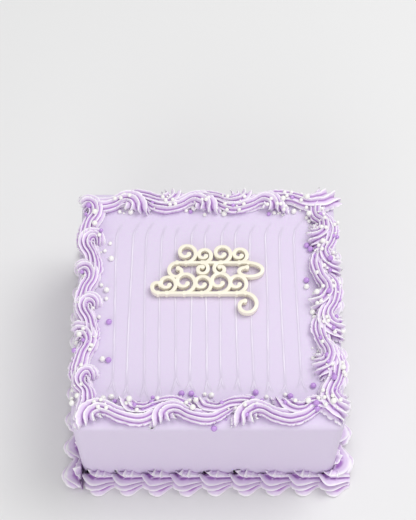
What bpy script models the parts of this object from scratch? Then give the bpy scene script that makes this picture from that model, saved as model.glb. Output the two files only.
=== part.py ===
"""A small square buttercream cake, modelled in metres with +Z up.

The origin is the centre of the flat base, the front faces -Y. The smooth block of cake carries
spatula ridges and a few loose sugar pearls. Four runs of reverse-shell piping go round its top
edge, four runs of shell piping round its foot, and an ivory scrollwork plate lies on top.
"""

import math
import random
from typing import NamedTuple

import bmesh
import bpy
from mathutils import Matrix, Vector
from mathutils.bvhtree import BVHTree
from mathutils.geometry import delaunay_2d_cdt

MM = 0.001

# Driving dimensions
BODY_WIDTH = 126 * MM
BODY_HEIGHT = 67 * MM
CORNER_RADIUS = 5.5 * MM
CORNER_SEGMENTS = 4
TOP_EDGE_RADIUS = 2.5 * MM
TOP_EDGE_SEGMENTS = 3
GAP = 0.3 * MM

# Spatula ridges along the top
RIDGE_COUNT = 13
RIDGE_PITCH = 7.28 * MM
RIDGE_OFFSET = -1.0 * MM
RIDGE_HALF_WIDTH = 0.8 * MM
RIDGE_HEIGHT = 0.35 * MM
RIDGE_FRONT = -44 * MM
RIDGE_BACK = 47 * MM
RIDGE_RAGGED_END = 5 * MM
RIDGE_SWAY = 0.5 * MM
RIDGE_SWAY_TURN = 4.0
RIDGE_SINK = 0.5 * MM
RIDGE_END_HEIGHT = 0.25
RIDGE_RINGS = 5

# Top border: six strokes a side, outward and inward heads in turn
STROKES_PER_RUN = 6
STROKE_PITCH = 18.3 * MM
STROKE_RIDGES = 4
STROKE_GROOVE = 0.28
STROKE_CREST = 0.3
ARCH_FULLNESS = 0.75
EYE_FILL = (0.7, 0.7, 0.6, 0.35)
LEAST_RISE = 0.08
FIN_FADE = (1.0, 0.3)
# How far the ridges of a head fan out, from one laid straight to one turned in
FAN_SPREADS = (0.9, 0.3)
LAST_TAIL_REACH = 0.62
TRIM_GROWTH = 0.5 * MM
TRIM_AHEAD = 3
DROOP_START = BODY_WIDTH / 2 - 1.5 * MM
DROOP_BEND = 2.0 * MM
DROOP_SLOPE = 0.25
FLAT_ANGLE = math.radians(0.2)

# Foot border: shells squeezed one after another from one rope
SHELL_SCALES = (0.95, 1.0)
SHELL_GROOVE = 0.26
SHELL_CREST = 0.7
SHELL_REACH = 11 * MM
SHELL_PITCH = 14.6 * MM
SHELL_NOTCH = 0.15 * MM
SHELL_LIP = 0.08
SHELL_NOSE = 1.6 * MM
SHELL_NOSE_SIZE = 0.5
SHELL_PAST_CORNER = 8 * MM
SHELL_LEAST_SHARE = 0.33
# How far along a shell each of its blades starts, from the wall down, as a share of its length
BLADE_LEADS = (0.28, 0.0, 0.09, 0.32)
# How far round a corner a run of shells begins and ends, in degrees from its own side
WRAP_START = 66
WRAP_END = 24
WRAP_MEET = 45

# Sugar pearls, as radii
PEARL_LARGE = 1.4 * MM
PEARL_MEDIUM = 1.0 * MM
PEARL_SINK = 0.45
PEARL_SEGMENTS = 6
PEARL_RINGS = 3
PEARLS_BEFORE_INWARD_HEAD = 2
PEARL_CLUSTER_LEAD = 5.5 * MM
PEARL_CLUSTER_SPREAD = 2.6 * MM
PEARL_CLUSTER_OUT = (-1.3, 0.4)

# Scrollwork plate
PLATE_THICKNESS = 3.0 * MM
PEN_WIDTH = 1.55 * MM
PEN_CONTRAST = 0.3
PEN_END_CORNERS = 8
PEN_END_RADIUS = 0.7 * PEN_WIDTH
POINTS_PER_TURN = 9
SCROLL_TURN = 420
SCROLL_EYE = 0.3
POINT_TOLERANCE = 1e-6
PLATE_FLAT_ANGLE = math.radians(1)

# Colours
CREAM_COLOUR = (0.74, 0.64, 0.82)
PIPING_COLOUR = (0.78, 0.68, 0.86)
IVORY_COLOUR = (0.93, 0.90, 0.78)


class Station(NamedTuple):
    """One section of a piped stroke, in millimetres and degrees.

    Along is the way the run goes, out is away from the middle of the cake, and a heading of 90
    points inwards.
    """

    along: float
    out: float
    heading: float
    half_width: float
    height: float


# The head of a stroke, by how far it curls: laid straight, turned in, or curled right round
HEADS = (
    (
        Station(-6.0, -1.0, 8, 7.0, 5.5),
        Station(-3.4, -1.2, 3, 6.8, 8.0),
        Station(0.0, -1.5, -2, 5.9, 8.8),
        Station(3.6, -1.6, -9, 5.0, 8.9),
        Station(7.6, -1.2, -14, 4.4, 8.5),
    ),
    (
        Station(-1.2, 0.9, 118, 6.2, 5.5),
        Station(0.3, 0.1, 90, 6.1, 8.0),
        Station(2.0, -1.8, 58, 5.2, 8.7),
        Station(4.9, -2.6, 22, 4.2, 8.9),
        Station(8.1, -1.9, -16, 3.4, 8.5),
    ),
    (
        Station(6.0, 2.8, 182, 2.9, 5.5),
        Station(2.4, 2.5, 142, 3.7, 7.6),
        Station(0.7, 0.2, 98, 4.5, 8.5),
        Station(2.2, -2.6, 44, 4.5, 9.0),
        Station(6.8, -2.7, -10, 3.4, 8.7),
    ),
)
TAIL = (
    Station(14.0, 0.2, -18, 3.6, 7.8),
    Station(22.0, 0.5, 8, 3.7, 6.8),
    Station(32.8, -5.2, 36, 1.3, 2.8),
)
# How far each ridge of a head reaches back, from the outer one in, in millimetres
FINS = ((1.0, 2.8, 3.2, 1.8), (1.2, 2.8, 4.0, 4.2), (0.9, 1.5, 1.6, 1.2))


class ShellStation(NamedTuple):
    """One section of a foot shell: how far along it lies, and its size beside the fullest one."""

    along: float
    size: float


SHELL_STATIONS = (
    ShellStation(0.0, 0.78),
    ShellStation(0.17, 0.95),
    ShellStation(0.42, 1.0),
    ShellStation(1.0, 0.64),
)


class Run(NamedTuple):
    """One side of the top border: its turn about Z, its first head, and the hand that piped it.

    The lines are how far from the middle of the cake its outward and inward heads turn, and
    breadth is how much broader than usual the strokes are laid across the run. Nudges are how far
    each head strays along it, curls how far it turns and sizes how big it is. Tail width is how
    much wider than usual the tails are. Lines, start and nudges are in millimetres.
    """

    name: str
    turn: int
    start: float
    outward_line: float
    inward_line: float
    breadth: float
    nudges: tuple
    curls: tuple
    sizes: tuple
    tail_width: float


TOP_RUNS = (
    Run("front", 0, -55.7, 56.9, 51.2, 1.04,
        (0, 0.9, -2.4, -1.7, -1.2, -0.4), (1.15, 1.0, 1.1, 1.0, 1.05, 1.0),
        (1.22, 1.05, 1.06, 1.0, 1.13, 1.05), 1.12),
    Run("right", 1, -53.5, 59.2, 54.4, 1.28,
        (1.2, 3.2, 3.9, 0.1, 1.3, -1.5), (0.75, 0.8, 0.9, 0.8, 0.9, 0.9),
        (1.06, 0.97, 1.03, 1.02, 0.98, 1.0), 1.2),
    Run("back", 2, -54.5, 58.6, 54.2, 1.05,
        (-1.5, 2.2, 0.9, -0.2, -1.2, -2.5), (0.1, 1.0, 0.9, 0.95, 1.0, 1.0),
        (1.06, 1.06, 1.0, 1.08, 0.98, 1.07), 1.1),
    Run("left", 3, -54.5, 59.2, 56.2, 1.1,
        (0, -0.6, -1.2, -2.4, -4.0, -1.7), (1.2, 1.7, 1.2, 1.6, 1.1, 1.6),
        (1.06, 0.94, 0.96, 0.98, 1.06, 0.94), 1.42),
)


class FootRun(NamedTuple):
    """One side of the foot border: its turn about Z, whether it is mirrored, and its ends.

    A run that doesn't wrap starts straight past its corner.
    """

    name: str
    turn: int
    mirrored: bool
    wraps: bool
    start: float
    end: float


HALF = BODY_WIDTH / 2
FLAT = HALF - CORNER_RADIUS


def round_corner(degrees):
    """Return how far along a run its wall has turned so far round the corner."""
    return FLAT + CORNER_RADIUS * math.radians(degrees)


FOOT_RUNS = (
    FootRun("front", 0, False, False, -HALF, round_corner(WRAP_END)),
    FootRun("right", 1, False, True, -round_corner(WRAP_START), round_corner(WRAP_END)),
    FootRun("back", 2, False, True, -round_corner(WRAP_START), round_corner(WRAP_MEET)),
    FootRun("left", 3, True, False, -HALF - SHELL_PAST_CORNER, round_corner(WRAP_MEET)),
)

# Loose pearls on the flat top: place along X and Y in millimetres, and radius
LOOSE_PEARLS = (
    (-47.5, -7.9, PEARL_LARGE),
    (-47.0, 28.3, PEARL_LARGE),
    (-46.5, -29.0, PEARL_LARGE),
    (-46.8, 41.0, PEARL_MEDIUM),
    (47.6, -39.5, PEARL_LARGE),
    (47.5, 12.0, PEARL_LARGE),
    (47.2, 46.0, PEARL_MEDIUM),
    (48.0, -25.0, PEARL_MEDIUM),
)


class ScrollRow(NamedTuple):
    """A row of running scrolls on one base line: where it starts and ends, and their radii."""

    x_start: float
    x_end: float
    y_foot: float
    radii: tuple


class Curl(NamedTuple):
    """A spiral curl, in millimetres and degrees."""

    centre: tuple
    radius_start: float
    radius_end: float
    angle_start: float
    angle_end: float
    squash: float = 1.0


SCROLL_ROWS = (
    ScrollRow(-15.0, 19.5, 21.5, (5.5, 4.2, 5.2, 4.4)),
    ScrollRow(-24.0, 18.0, 5.0, (5.0, 6.0, 5.2, 6.2, 5.4)),
)
CURLS = (
    Curl((-3.0, 18.0), 3.5, 1.2, 90, -290),
    Curl((6.0, 18.0), 3.5, 1.2, 90, 470),
    Curl((-15.0, 16.9), 4.6, 1.6, 90, 430),
    Curl((19.5, 17.1), 8.0, 3.4, 90, -260, 0.55),
    Curl((18.0, -1.2), 6.2, 2.0, 90, -260),
    Curl((-24.0, 8.6), 3.6, 1.4, -90, -330),
)


def make_material(name, colour, roughness):
    """Return a Principled material of one plain colour."""
    material = bpy.data.materials.new(name)
    material.use_nodes = True
    shader = material.node_tree.nodes["Principled BSDF"]
    shader.inputs["Base Color"].default_value = (*colour, 1.0)
    shader.inputs["Roughness"].default_value = roughness
    shader.inputs["Metallic"].default_value = 0.0
    material.diffuse_color = (*colour, 1.0)
    return material


def add_object(name, bm, material, collection):
    """Turn a bmesh into an object in a collection."""
    mesh = bpy.data.meshes.new(name)
    bmesh.ops.recalc_face_normals(bm, faces=bm.faces)
    bm.to_mesh(mesh)
    bm.free()
    mesh.materials.append(material)
    obj = bpy.data.objects.new(name, mesh)
    collection.objects.link(obj)
    return obj


def new_collection(name):
    """Return a new collection linked to the scene."""
    collection = bpy.data.collections.new(name)
    bpy.context.scene.collection.children.link(collection)
    return collection


def loft(rings):
    """Return a closed bmesh through a list of rings with equal numbers of points."""
    bm = bmesh.new()
    loops = [[bm.verts.new(point) for point in ring] for ring in rings]
    count = len(rings[0])
    for near, far in zip(loops, loops[1:]):
        for i in range(count):
            j = (i + 1) % count
            bm.faces.new((near[i], near[j], far[j], far[i]))
    bm.faces.new(loops[0])
    bm.faces.new(loops[-1])
    bmesh.ops.triangulate(bm, faces=bm.faces, ngon_method="EAR_CLIP")
    return bm


def boolean(target, operation, others, solver="EXACT"):
    """Apply one Boolean of a collection of objects to the target and remove them."""
    operands = new_collection(f"{target.name}_operands")
    for other in others:
        for owner in list(other.users_collection):
            owner.objects.unlink(other)
        operands.objects.link(other)
    modifier = target.modifiers.new(operation.title(), "BOOLEAN")
    modifier.operation = operation
    modifier.operand_type = "COLLECTION"
    modifier.collection = operands
    modifier.solver = solver
    depsgraph = bpy.context.evaluated_depsgraph_get()
    joined = bpy.data.meshes.new_from_object(target.evaluated_get(depsgraph))
    target.modifiers.clear()
    target.data = joined
    for other in list(operands.objects):
        bpy.data.objects.remove(other)
    bpy.data.collections.remove(operands)
    keep_body(target.data)


def keep_body(mesh):
    """Keep only the largest connected body of a mesh, in triangles."""
    bm = bmesh.new()
    bm.from_mesh(mesh)
    seen = set()
    bodies = []
    for first in bm.verts:
        if first in seen:
            continue
        body = {first}
        front = [first]
        while front:
            vertex = front.pop()
            for edge in vertex.link_edges:
                other = edge.other_vert(vertex)
                if other not in body:
                    body.add(other)
                    front.append(other)
        seen |= body
        bodies.append(body)
    largest = max(bodies, key=len)
    loose = [vertex for vertex in bm.verts if vertex not in largest]
    bmesh.ops.delete(bm, geom=loose, context="VERTS")
    bmesh.ops.remove_doubles(bm, verts=bm.verts, dist=POINT_TOLERANCE)
    bmesh.ops.triangulate(bm, faces=bm.faces)
    bm.to_mesh(mesh)
    bm.free()


def merge_flat(mesh):
    """Merge the flat neighbouring faces of a mesh."""
    bm = bmesh.new()
    bm.from_mesh(mesh)
    bmesh.ops.dissolve_limit(bm, angle_limit=FLAT_ANGLE, verts=bm.verts, edges=bm.edges)
    bmesh.ops.triangulate(bm, faces=bm.faces, ngon_method="EAR_CLIP")
    bm.to_mesh(mesh)
    bm.free()


def pearl(centre, radius):
    """Return a small faceted ball as a bmesh."""
    bm = bmesh.new()
    bmesh.ops.create_uvsphere(
        bm, u_segments=PEARL_SEGMENTS, v_segments=PEARL_RINGS, radius=radius,
        matrix=Matrix.Translation(centre))
    bmesh.ops.triangulate(bm, faces=bm.faces)
    return bm


def side_matrix(turn):
    """Return the rotation that takes the front side to the side a number of quarter turns on."""
    return Matrix.Rotation(turn * math.pi / 2, 4, "Z")


# Top border

def droop(point):
    """Return how far cream sinks that hangs past the top on the front side."""
    past = max(0.0, -point.y - DROOP_START)
    return DROOP_SLOPE * (math.hypot(past, DROOP_BEND) - DROOP_BEND)


def section_places(ridges, crest):
    """Return the grooves and crests across a section, as pairs of a place and its ridge's number."""
    places = []
    for row in range(ridges):
        places.append((row / ridges, None))
        places.append(((row + crest) / ridges, row))
    return places + [(1.0, None)]


def stroke_rings(stations, curl, run, inward, start, scale, groove, growth):
    """Return the rings of one stroke on the front side, from its torn start to its tail."""
    line = (run.inward_line if inward else run.outward_line) * MM
    rings = []
    mirror = -1 if inward else 1
    base = BODY_HEIGHT + GAP - 2 * growth
    fins = stroke_fins(curl)
    straight, turned = FAN_SPREADS
    spread = straight + (turned - straight) * min(curl, 1.0)
    for index, station in enumerate(stations):
        heading = math.radians(station.heading)
        ahead = Vector((math.cos(heading), mirror * math.sin(heading), 0))
        side = Vector((math.sin(heading), -mirror * math.cos(heading), 0))
        out = mirror * station.out * MM * scale
        centre = Vector((start + station.along * MM * scale, -out, 0))
        half_width = station.half_width * MM * scale + growth
        height = station.height * MM + growth
        fade = FIN_FADE[index] if index < len(FIN_FADE) else 0
        fill = EYE_FILL[index] if index < len(EYE_FILL) else 0
        ring = []
        for place, row in section_places(STROKE_RIDGES, STROKE_CREST):
            angle = math.pi * place
            reach = 1 - groove if row is None else 1
            point = centre - side * (half_width * math.cos(angle) * reach)
            fin = 0 if row is None else fins[row] * MM * scale
            fan = (ahead - side * (2 * place - 1) * spread).normalized()
            point -= fan * (fin + TRIM_AHEAD * growth) * fade
            point.y = point.y * run.breadth - line
            rise = max(0.0, math.sin(angle)) ** ARCH_FULLNESS
            if place > 0.5:
                rise = max(rise, fill, LEAST_RISE)
            point.z = base + height * reach * rise - droop(point) * (1 - rise / 2)
            ring.append(point)
        foot = ring[-1].copy()
        foot.z = base - droop(foot)
        ring.append(foot)
        rings.append(ring)
    return rings


def mixed_head(choices, curl):
    """Return the lower and upper choices for a curl, and how far it lies between them."""
    lower = min(int(curl), len(choices) - 2)
    return choices[lower], choices[lower + 1], curl - lower


def stroke_stations(curl, reach, tail_width):
    """Return the stations of a stroke whose head curls so far and whose tail is drawn out so."""
    near, far, mix = mixed_head(HEADS, curl)
    head = [Station(*(a + (b - a) * mix for a, b in zip(p, q))) for p, q in zip(near, far)]
    neck = head[-1].along
    for index, station in enumerate(head):
        share = (index / (len(head) - 1)) ** 2
        widened = station.half_width * (1 + (tail_width - 1) * share)
        head[index] = station._replace(half_width=widened)
    tail = [
        s._replace(along=neck + (s.along - neck) * reach, out=s.out * reach,
                   half_width=s.half_width * tail_width)
        for s in TAIL]
    return head + tail


def stroke_fins(curl):
    """Return how far the ridges of a head that curls so far reach back."""
    near, far, mix = mixed_head(FINS, curl)
    return [a + (b - a) * mix for a, b in zip(near, far)]


def run_strokes(run):
    """Return the bmeshes of one run's strokes and the places of their heads."""
    strokes = []
    heads = []
    for index in range(STROKES_PER_RUN):
        inward = index % 2 == 1
        curl = run.curls[index]
        reach = LAST_TAIL_REACH if index == STROKES_PER_RUN - 1 else 1
        stations = stroke_stations(curl, reach, run.tail_width)
        start = (run.start + run.nudges[index]) * MM + index * STROKE_PITCH
        rings = stroke_rings(
            stations, curl, run, inward, start, run.sizes[index], STROKE_GROOVE, 0)
        strokes.append(loft(rings))
        heads.append((start, inward))
    return strokes, heads


def pearls_of_run(run, heads, surface, rng):
    """Return the pearls of one run, which lie in the crook before each inward head."""
    pearls = []
    for start, inward in heads:
        if not inward:
            continue
        for index in range(PEARLS_BEFORE_INWARD_HEAD):
            radius = PEARL_LARGE if index % 2 == 0 else PEARL_MEDIUM
            along = start - PEARL_CLUSTER_LEAD + rng.uniform(-1, 1) * PEARL_CLUSTER_SPREAD
            out = run.inward_line * MM + rng.uniform(*PEARL_CLUSTER_OUT) * PEARL_CLUSTER_SPREAD
            above = Vector((along, -out, 2 * BODY_HEIGHT))
            hit = surface.ray_cast(above, Vector((0, 0, -1)))[0]
            if hit is not None:
                pearls.append(pearl(hit + Vector((0, 0, radius * PEARL_SINK)), radius))
    return pearls


def build_top_border(collection, material):
    """Build the four runs, each trimmed where the next run's corner head lies over it."""
    runs = []
    for run in TOP_RUNS:
        rng = random.Random(f"top {run.name}")
        strokes, heads = run_strokes(run)
        whole = bmesh.new()
        for stroke in strokes:
            scratch = bpy.data.meshes.new("scratch")
            stroke.to_mesh(scratch)
            whole.from_mesh(scratch)
            bpy.data.meshes.remove(scratch)
        surface = BVHTree.FromBMesh(whole)
        whole.free()
        pieces = strokes + pearls_of_run(run, heads, surface, rng)
        objects = [
            add_object(f"top_border_{run.name}" if i == 0 else f"piece_{i}", piece, material, collection)
            for i, piece in enumerate(pieces)]
        turned = side_matrix(run.turn)
        for obj in objects:
            obj.data.transform(turned)
        # The exact solver leaves open edges where strokes cross at a shallow angle
        boolean(objects[0], "UNION", objects[1:], "MANIFOLD")
        runs.append(objects[0])
    for run, following in zip(runs, TOP_RUNS[1:] + TOP_RUNS[:1]):
        curl = following.curls[0]
        start = (following.start + following.nudges[0]) * MM
        rings = stroke_rings(
            stroke_stations(curl, 1, following.tail_width), curl, following, False, start,
            following.sizes[0], 0, TRIM_GROWTH)
        cutter = add_object("corner_trim", loft(rings), material, collection)
        cutter.data.transform(side_matrix(following.turn))
        boolean(run, "DIFFERENCE", [cutter], "MANIFOLD")
    return runs


# Foot border

def wall(place, wraps):
    """Return the wall's foot and its outward direction at a place along the front run."""
    past = abs(place) - FLAT
    if past <= 0 or (place < 0 and not wraps):
        return Vector((place, -HALF - GAP, 0)), Vector((0, -1, 0))
    turn = math.copysign(past / CORNER_RADIUS, place)
    outward = Vector((math.sin(turn), -math.cos(turn), 0))
    centre = Vector((math.copysign(FLAT, place), -FLAT, 0))
    return centre + outward * (CORNER_RADIUS + GAP), outward


def shell_ring(run, head, length, station, scale):
    """Return one section of the foot rope, whose blades start one after another."""
    ring = []
    for place, row in section_places(len(BLADE_LEADS), SHELL_CREST):
        lead = 0 if row is None else BLADE_LEADS[row] - SHELL_LIP
        along = head + length * (lead + (1 - lead) * station.along)
        foot, outward = wall(min(max(along, run.start), run.end), run.wraps)
        reach = SHELL_REACH * station.size * scale
        if row is None:
            reach *= 1 - SHELL_GROOVE
        angle = math.pi / 2 * (1 - place)
        up = Vector((0, 0, reach * math.sin(angle)))
        ring.append(foot + outward * reach * math.cos(angle) + up)
    along = min(max(head + length * station.along, run.start), run.end)
    ring.append(wall(along, run.wraps)[0])
    return ring


def build_foot_border(collection, material):
    """Build the four runs of shells as one rope a side, pinched in after each shell."""
    for run in FOOT_RUNS:
        rng = random.Random(f"foot {run.name}")
        nose = ShellStation(0.0, SHELL_NOSE_SIZE)
        rings = [shell_ring(run, run.start + GAP, 0, nose, 1)]
        head = run.start + GAP + SHELL_NOSE
        while head < run.end - SHELL_PITCH * SHELL_LEAST_SHARE:
            scale = rng.uniform(*SHELL_SCALES)
            for station in SHELL_STATIONS:
                if head + station.along * SHELL_PITCH < run.end:
                    rings.append(shell_ring(run, head, SHELL_PITCH - SHELL_NOTCH, station, scale))
            head += SHELL_PITCH
        obj = add_object(f"foot_border_{run.name}", loft(rings), material, collection)
        if run.mirrored:
            obj.data.transform(Matrix.Scale(-1, 4, Vector((1, 0, 0))))
            obj.data.flip_normals()
        obj.data.transform(side_matrix(run.turn))


# Cake block

def rounded_block():
    """Return the block of cake, rounded at its upright corners and along its top edge."""
    bm = bmesh.new()
    size = Matrix.Diagonal((BODY_WIDTH, BODY_WIDTH, BODY_HEIGHT, 1))
    bmesh.ops.create_cube(bm, size=1, matrix=Matrix.Translation((0, 0, BODY_HEIGHT / 2)) @ size)
    upright = [e for e in bm.edges if abs(e.verts[0].co.z - e.verts[1].co.z) > BODY_HEIGHT / 2]
    bmesh.ops.bevel(bm, geom=upright, offset=CORNER_RADIUS, segments=CORNER_SEGMENTS,
                    profile=0.5, affect="EDGES")
    rim = [e for e in bm.edges if all(v.co.z > BODY_HEIGHT - GAP for v in e.verts)]
    bmesh.ops.bevel(bm, geom=rim, offset=TOP_EDGE_RADIUS, segments=TOP_EDGE_SEGMENTS,
                    profile=0.5, affect="EDGES")
    bmesh.ops.triangulate(bm, faces=bm.faces)
    return bm


def spatula_ridge(x, rng):
    """Return one low ridge that the spatula left, running from front to back."""
    rings = []
    phase = rng.uniform(0, math.tau)
    back = RIDGE_BACK - rng.uniform(0, RIDGE_RAGGED_END)
    front = RIDGE_FRONT + rng.uniform(0, RIDGE_RAGGED_END)
    for i in range(RIDGE_RINGS):
        t = i / (RIDGE_RINGS - 1)
        centre = x + RIDGE_SWAY * math.sin(phase + RIDGE_SWAY_TURN * t)
        rise = RIDGE_END_HEIGHT + (1 - RIDGE_END_HEIGHT) * math.sin(math.pi * t)
        height = RIDGE_HEIGHT * rise
        y = front + (back - front) * t
        rings.append([
            Vector((centre - RIDGE_HALF_WIDTH, y, BODY_HEIGHT - RIDGE_SINK)),
            Vector((centre, y, BODY_HEIGHT + height)),
            Vector((centre + RIDGE_HALF_WIDTH, y, BODY_HEIGHT - RIDGE_SINK))])
    return loft(rings)


def build_cake(collection, material, borders):
    """Build the block with its ridges and the loose pearls, which stay clear of the borders."""
    rng = random.Random("cake")
    cake = add_object("cake", rounded_block(), material, collection)
    extras = []
    for index in range(RIDGE_COUNT):
        x = RIDGE_OFFSET + (index - (RIDGE_COUNT - 1) / 2) * RIDGE_PITCH
        extras.append(spatula_ridge(x, rng))
    depsgraph = bpy.context.evaluated_depsgraph_get()
    trees = [BVHTree.FromObject(border, depsgraph) for border in borders]
    for x, y, radius in LOOSE_PEARLS:
        centre = Vector((x * MM, y * MM, BODY_HEIGHT + radius * PEARL_SINK))
        while min(tree.find_nearest(centre)[3] for tree in trees) < radius + 2 * GAP:
            centre.x -= math.copysign(GAP, x)
        extras.append(pearl(centre, radius))
    others = [add_object(f"extra_{i}", bm, material, collection) for i, bm in enumerate(extras)]
    boolean(cake, "UNION", others)
    merge_flat(cake.data)


# Scrollwork plate

def curl_line(curl):
    """Return the points of the centre line of a spiral curl."""
    turn = curl.angle_end - curl.angle_start
    steps = round(abs(turn) / 360 * POINTS_PER_TURN)
    points = []
    for i in range(steps + 1):
        t = i / steps
        angle = math.radians(curl.angle_start + turn * t)
        radius = curl.radius_start + (curl.radius_end - curl.radius_start) * t
        points.append((curl.centre[0] + radius * math.cos(angle),
                       curl.centre[1] + curl.squash * radius * math.sin(angle)))
    return points


def row_curls(row):
    """Return the scrolls that rise from the base line of a row, one for each radius."""
    pitch = (row.x_end - row.x_start) / len(row.radii)
    return [
        Curl((row.x_start + pitch * (k + 0.5), row.y_foot + radius), radius, radius * SCROLL_EYE,
             -90, SCROLL_TURN - 90)
        for k, radius in enumerate(row.radii)]


def pen_lines():
    """Return the centre lines of the scrollwork: two rows of scrolls, joined and ended by curls."""
    lines = []
    curls = list(CURLS)
    for row in SCROLL_ROWS:
        x_middle = (row.x_start + row.x_end) / 2
        lines.append([(x, row.y_foot) for x in (row.x_start, x_middle, row.x_end)])
        curls += row_curls(row)
    return lines + [curl_line(curl) for curl in curls]


def pen_outline(points):
    """Return ribbon quads and end discs along one centre line, wider where it runs up or down."""
    centres = [Vector(point) * MM for point in points]
    left = []
    right = []
    for i, centre in enumerate(centres):
        before = centres[max(i - 1, 0)]
        after = centres[min(i + 1, len(centres) - 1)]
        along = (after - before).normalized()
        width = PEN_WIDTH * (1 - PEN_CONTRAST / 2 + PEN_CONTRAST * abs(along.y))
        across = Vector((-along.y, along.x)) * width / 2
        left.append(centre + across)
        right.append(centre - across)
    shapes = [[right[i], right[i + 1], left[i + 1], left[i]] for i in range(len(centres) - 1)]
    spokes = [math.tau * k / PEN_END_CORNERS for k in range(PEN_END_CORNERS)]
    for centre in (centres[0], centres[-1]):
        shapes.append([
            centre + Vector((math.cos(spoke), math.sin(spoke))) * PEN_END_RADIUS
            for spoke in spokes])
    return shapes


def covers(outline, point):
    """Tell whether a convex outline, given anticlockwise, covers a point."""
    return all(
        (after - before).cross(point - before) >= 0
        for before, after in zip(outline, outline[1:] + outline[:1]))


def build_plate(collection, material):
    """Build the plate: the flat union of all pen strokes, given its thickness."""
    corners = []
    shapes = []
    for line in pen_lines():
        for shape in pen_outline(line):
            shapes.append(list(range(len(corners), len(corners) + len(shape))))
            corners.extend(shape)
    points, _, faces, _, _, _ = delaunay_2d_cdt(corners, [], shapes, 0, POINT_TOLERANCE)
    bottom = BODY_HEIGHT + RIDGE_HEIGHT + GAP
    bm = bmesh.new()
    vertices = [bm.verts.new((p.x, p.y, bottom)) for p in points]
    outlines = [[corners[i] for i in shape] for shape in shapes]
    for face in faces:
        middle = sum((points[i] for i in face), Vector((0, 0))) / len(face)
        if any(covers(outline, middle) for outline in outlines):
            bm.faces.new([vertices[i] for i in face])
    bmesh.ops.delete(bm, geom=[v for v in bm.verts if not v.link_faces], context="VERTS")
    bmesh.ops.dissolve_limit(bm, angle_limit=PLATE_FLAT_ANGLE, verts=bm.verts, edges=bm.edges)
    top = bmesh.ops.extrude_face_region(bm, geom=bm.faces[:])["geom"]
    raised = [item for item in top if isinstance(item, bmesh.types.BMVert)]
    bmesh.ops.translate(bm, vec=(0, 0, PLATE_THICKNESS), verts=raised)
    bmesh.ops.triangulate(bm, faces=bm.faces)
    add_object("scroll_plate", bm, material, collection)


def main():
    """Clear the scene and build the cake."""
    for obj in list(bpy.data.objects):
        bpy.data.objects.remove(obj)
    collection = new_collection("lilac_cake")
    cream = make_material("lilac_buttercream", CREAM_COLOUR, 0.5)
    piping = make_material("piped_buttercream", PIPING_COLOUR, 0.45)
    ivory = make_material("ivory_plate", IVORY_COLOUR, 0.4)
    borders = build_top_border(collection, piping)
    build_foot_border(collection, piping)
    build_cake(collection, cream, borders)
    build_plate(collection, ivory)


main()
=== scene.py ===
"""Looks of a small square lilac buttercream cake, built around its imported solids.

The smooth block carries spatula marks. Reverse-shell piping goes round its top edge and shell
piping round its foot, sugar pearls are scattered on the piping, and an ivory scrollwork plate
lies on top. Everything is in metres, with the front facing -Y.
"""

import logging
import math
import random
from collections.abc import Callable, Sequence
from dataclasses import dataclass, field, replace
from enum import Enum

import bmesh
import bpy
from mathutils import Matrix, Vector, noise
from mathutils.bvhtree import BVHTree
from mathutils.geometry import delaunay_2d_cdt


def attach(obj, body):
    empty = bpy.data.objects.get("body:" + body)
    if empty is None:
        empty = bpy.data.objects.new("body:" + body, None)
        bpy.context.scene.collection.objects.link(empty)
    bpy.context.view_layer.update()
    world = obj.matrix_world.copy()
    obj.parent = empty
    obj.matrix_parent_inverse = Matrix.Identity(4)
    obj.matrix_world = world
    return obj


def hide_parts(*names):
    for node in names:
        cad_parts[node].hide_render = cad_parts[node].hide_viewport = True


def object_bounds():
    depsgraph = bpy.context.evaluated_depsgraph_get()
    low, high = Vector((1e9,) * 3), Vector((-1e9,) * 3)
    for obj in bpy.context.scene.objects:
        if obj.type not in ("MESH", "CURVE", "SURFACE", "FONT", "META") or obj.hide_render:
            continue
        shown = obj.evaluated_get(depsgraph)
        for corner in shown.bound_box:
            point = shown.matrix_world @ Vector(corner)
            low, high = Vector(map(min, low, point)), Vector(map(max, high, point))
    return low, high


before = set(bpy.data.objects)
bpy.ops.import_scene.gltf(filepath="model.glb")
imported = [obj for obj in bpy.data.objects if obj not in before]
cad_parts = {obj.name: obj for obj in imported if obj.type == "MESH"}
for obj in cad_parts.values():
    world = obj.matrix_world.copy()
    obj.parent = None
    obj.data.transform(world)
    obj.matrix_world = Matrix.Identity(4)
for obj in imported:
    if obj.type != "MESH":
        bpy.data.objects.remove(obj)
CAD_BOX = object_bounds()

log = logging.getLogger("lilac_cake")

MM = 0.001
BODY = "root"

# Driving dimensions, as in the part
BODY_WIDTH = 126 * MM
BODY_HEIGHT = 67 * MM
HALF = BODY_WIDTH / 2
GAP = 0.3 * MM

# Shared by several pieces: how sharp a ridge's crest is, where plain cream lies between painted
# highlight and painted shade, and how far apart the noise of two ridges and of two pieces lies
BLADE_POWER = 1.15
PLAIN_TONE = 0.5
ROW_APART = 7.3
SEED_APART = 3.1

Colour = tuple[float, float, float]
Ring = list[Vector]
Spot = tuple[Vector, float]


class Side(Enum):
    """A side of the cake, by its quarter turns from the front."""

    FRONT = 0
    RIGHT = 1
    BACK = 2
    LEFT = 3

    @property
    def matrix(self) -> Matrix:
        """The rotation that takes the front side to this one."""
        return Matrix.Rotation(self.value * math.pi / 2, 4, "Z")


class PearlSize(Enum):
    """A sugar pearl's radius."""

    LARGE = 1.4 * MM
    MEDIUM = 1.0 * MM
    SMALL = 0.55 * MM


# Bench: the modelling steps that every piece shares


def clear_selection() -> None:
    """Leave edit mode and deselect everything."""
    if bpy.context.object and bpy.context.object.mode != "OBJECT":
        bpy.ops.object.mode_set(mode="OBJECT")
    bpy.ops.object.select_all(action="DESELECT")


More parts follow.
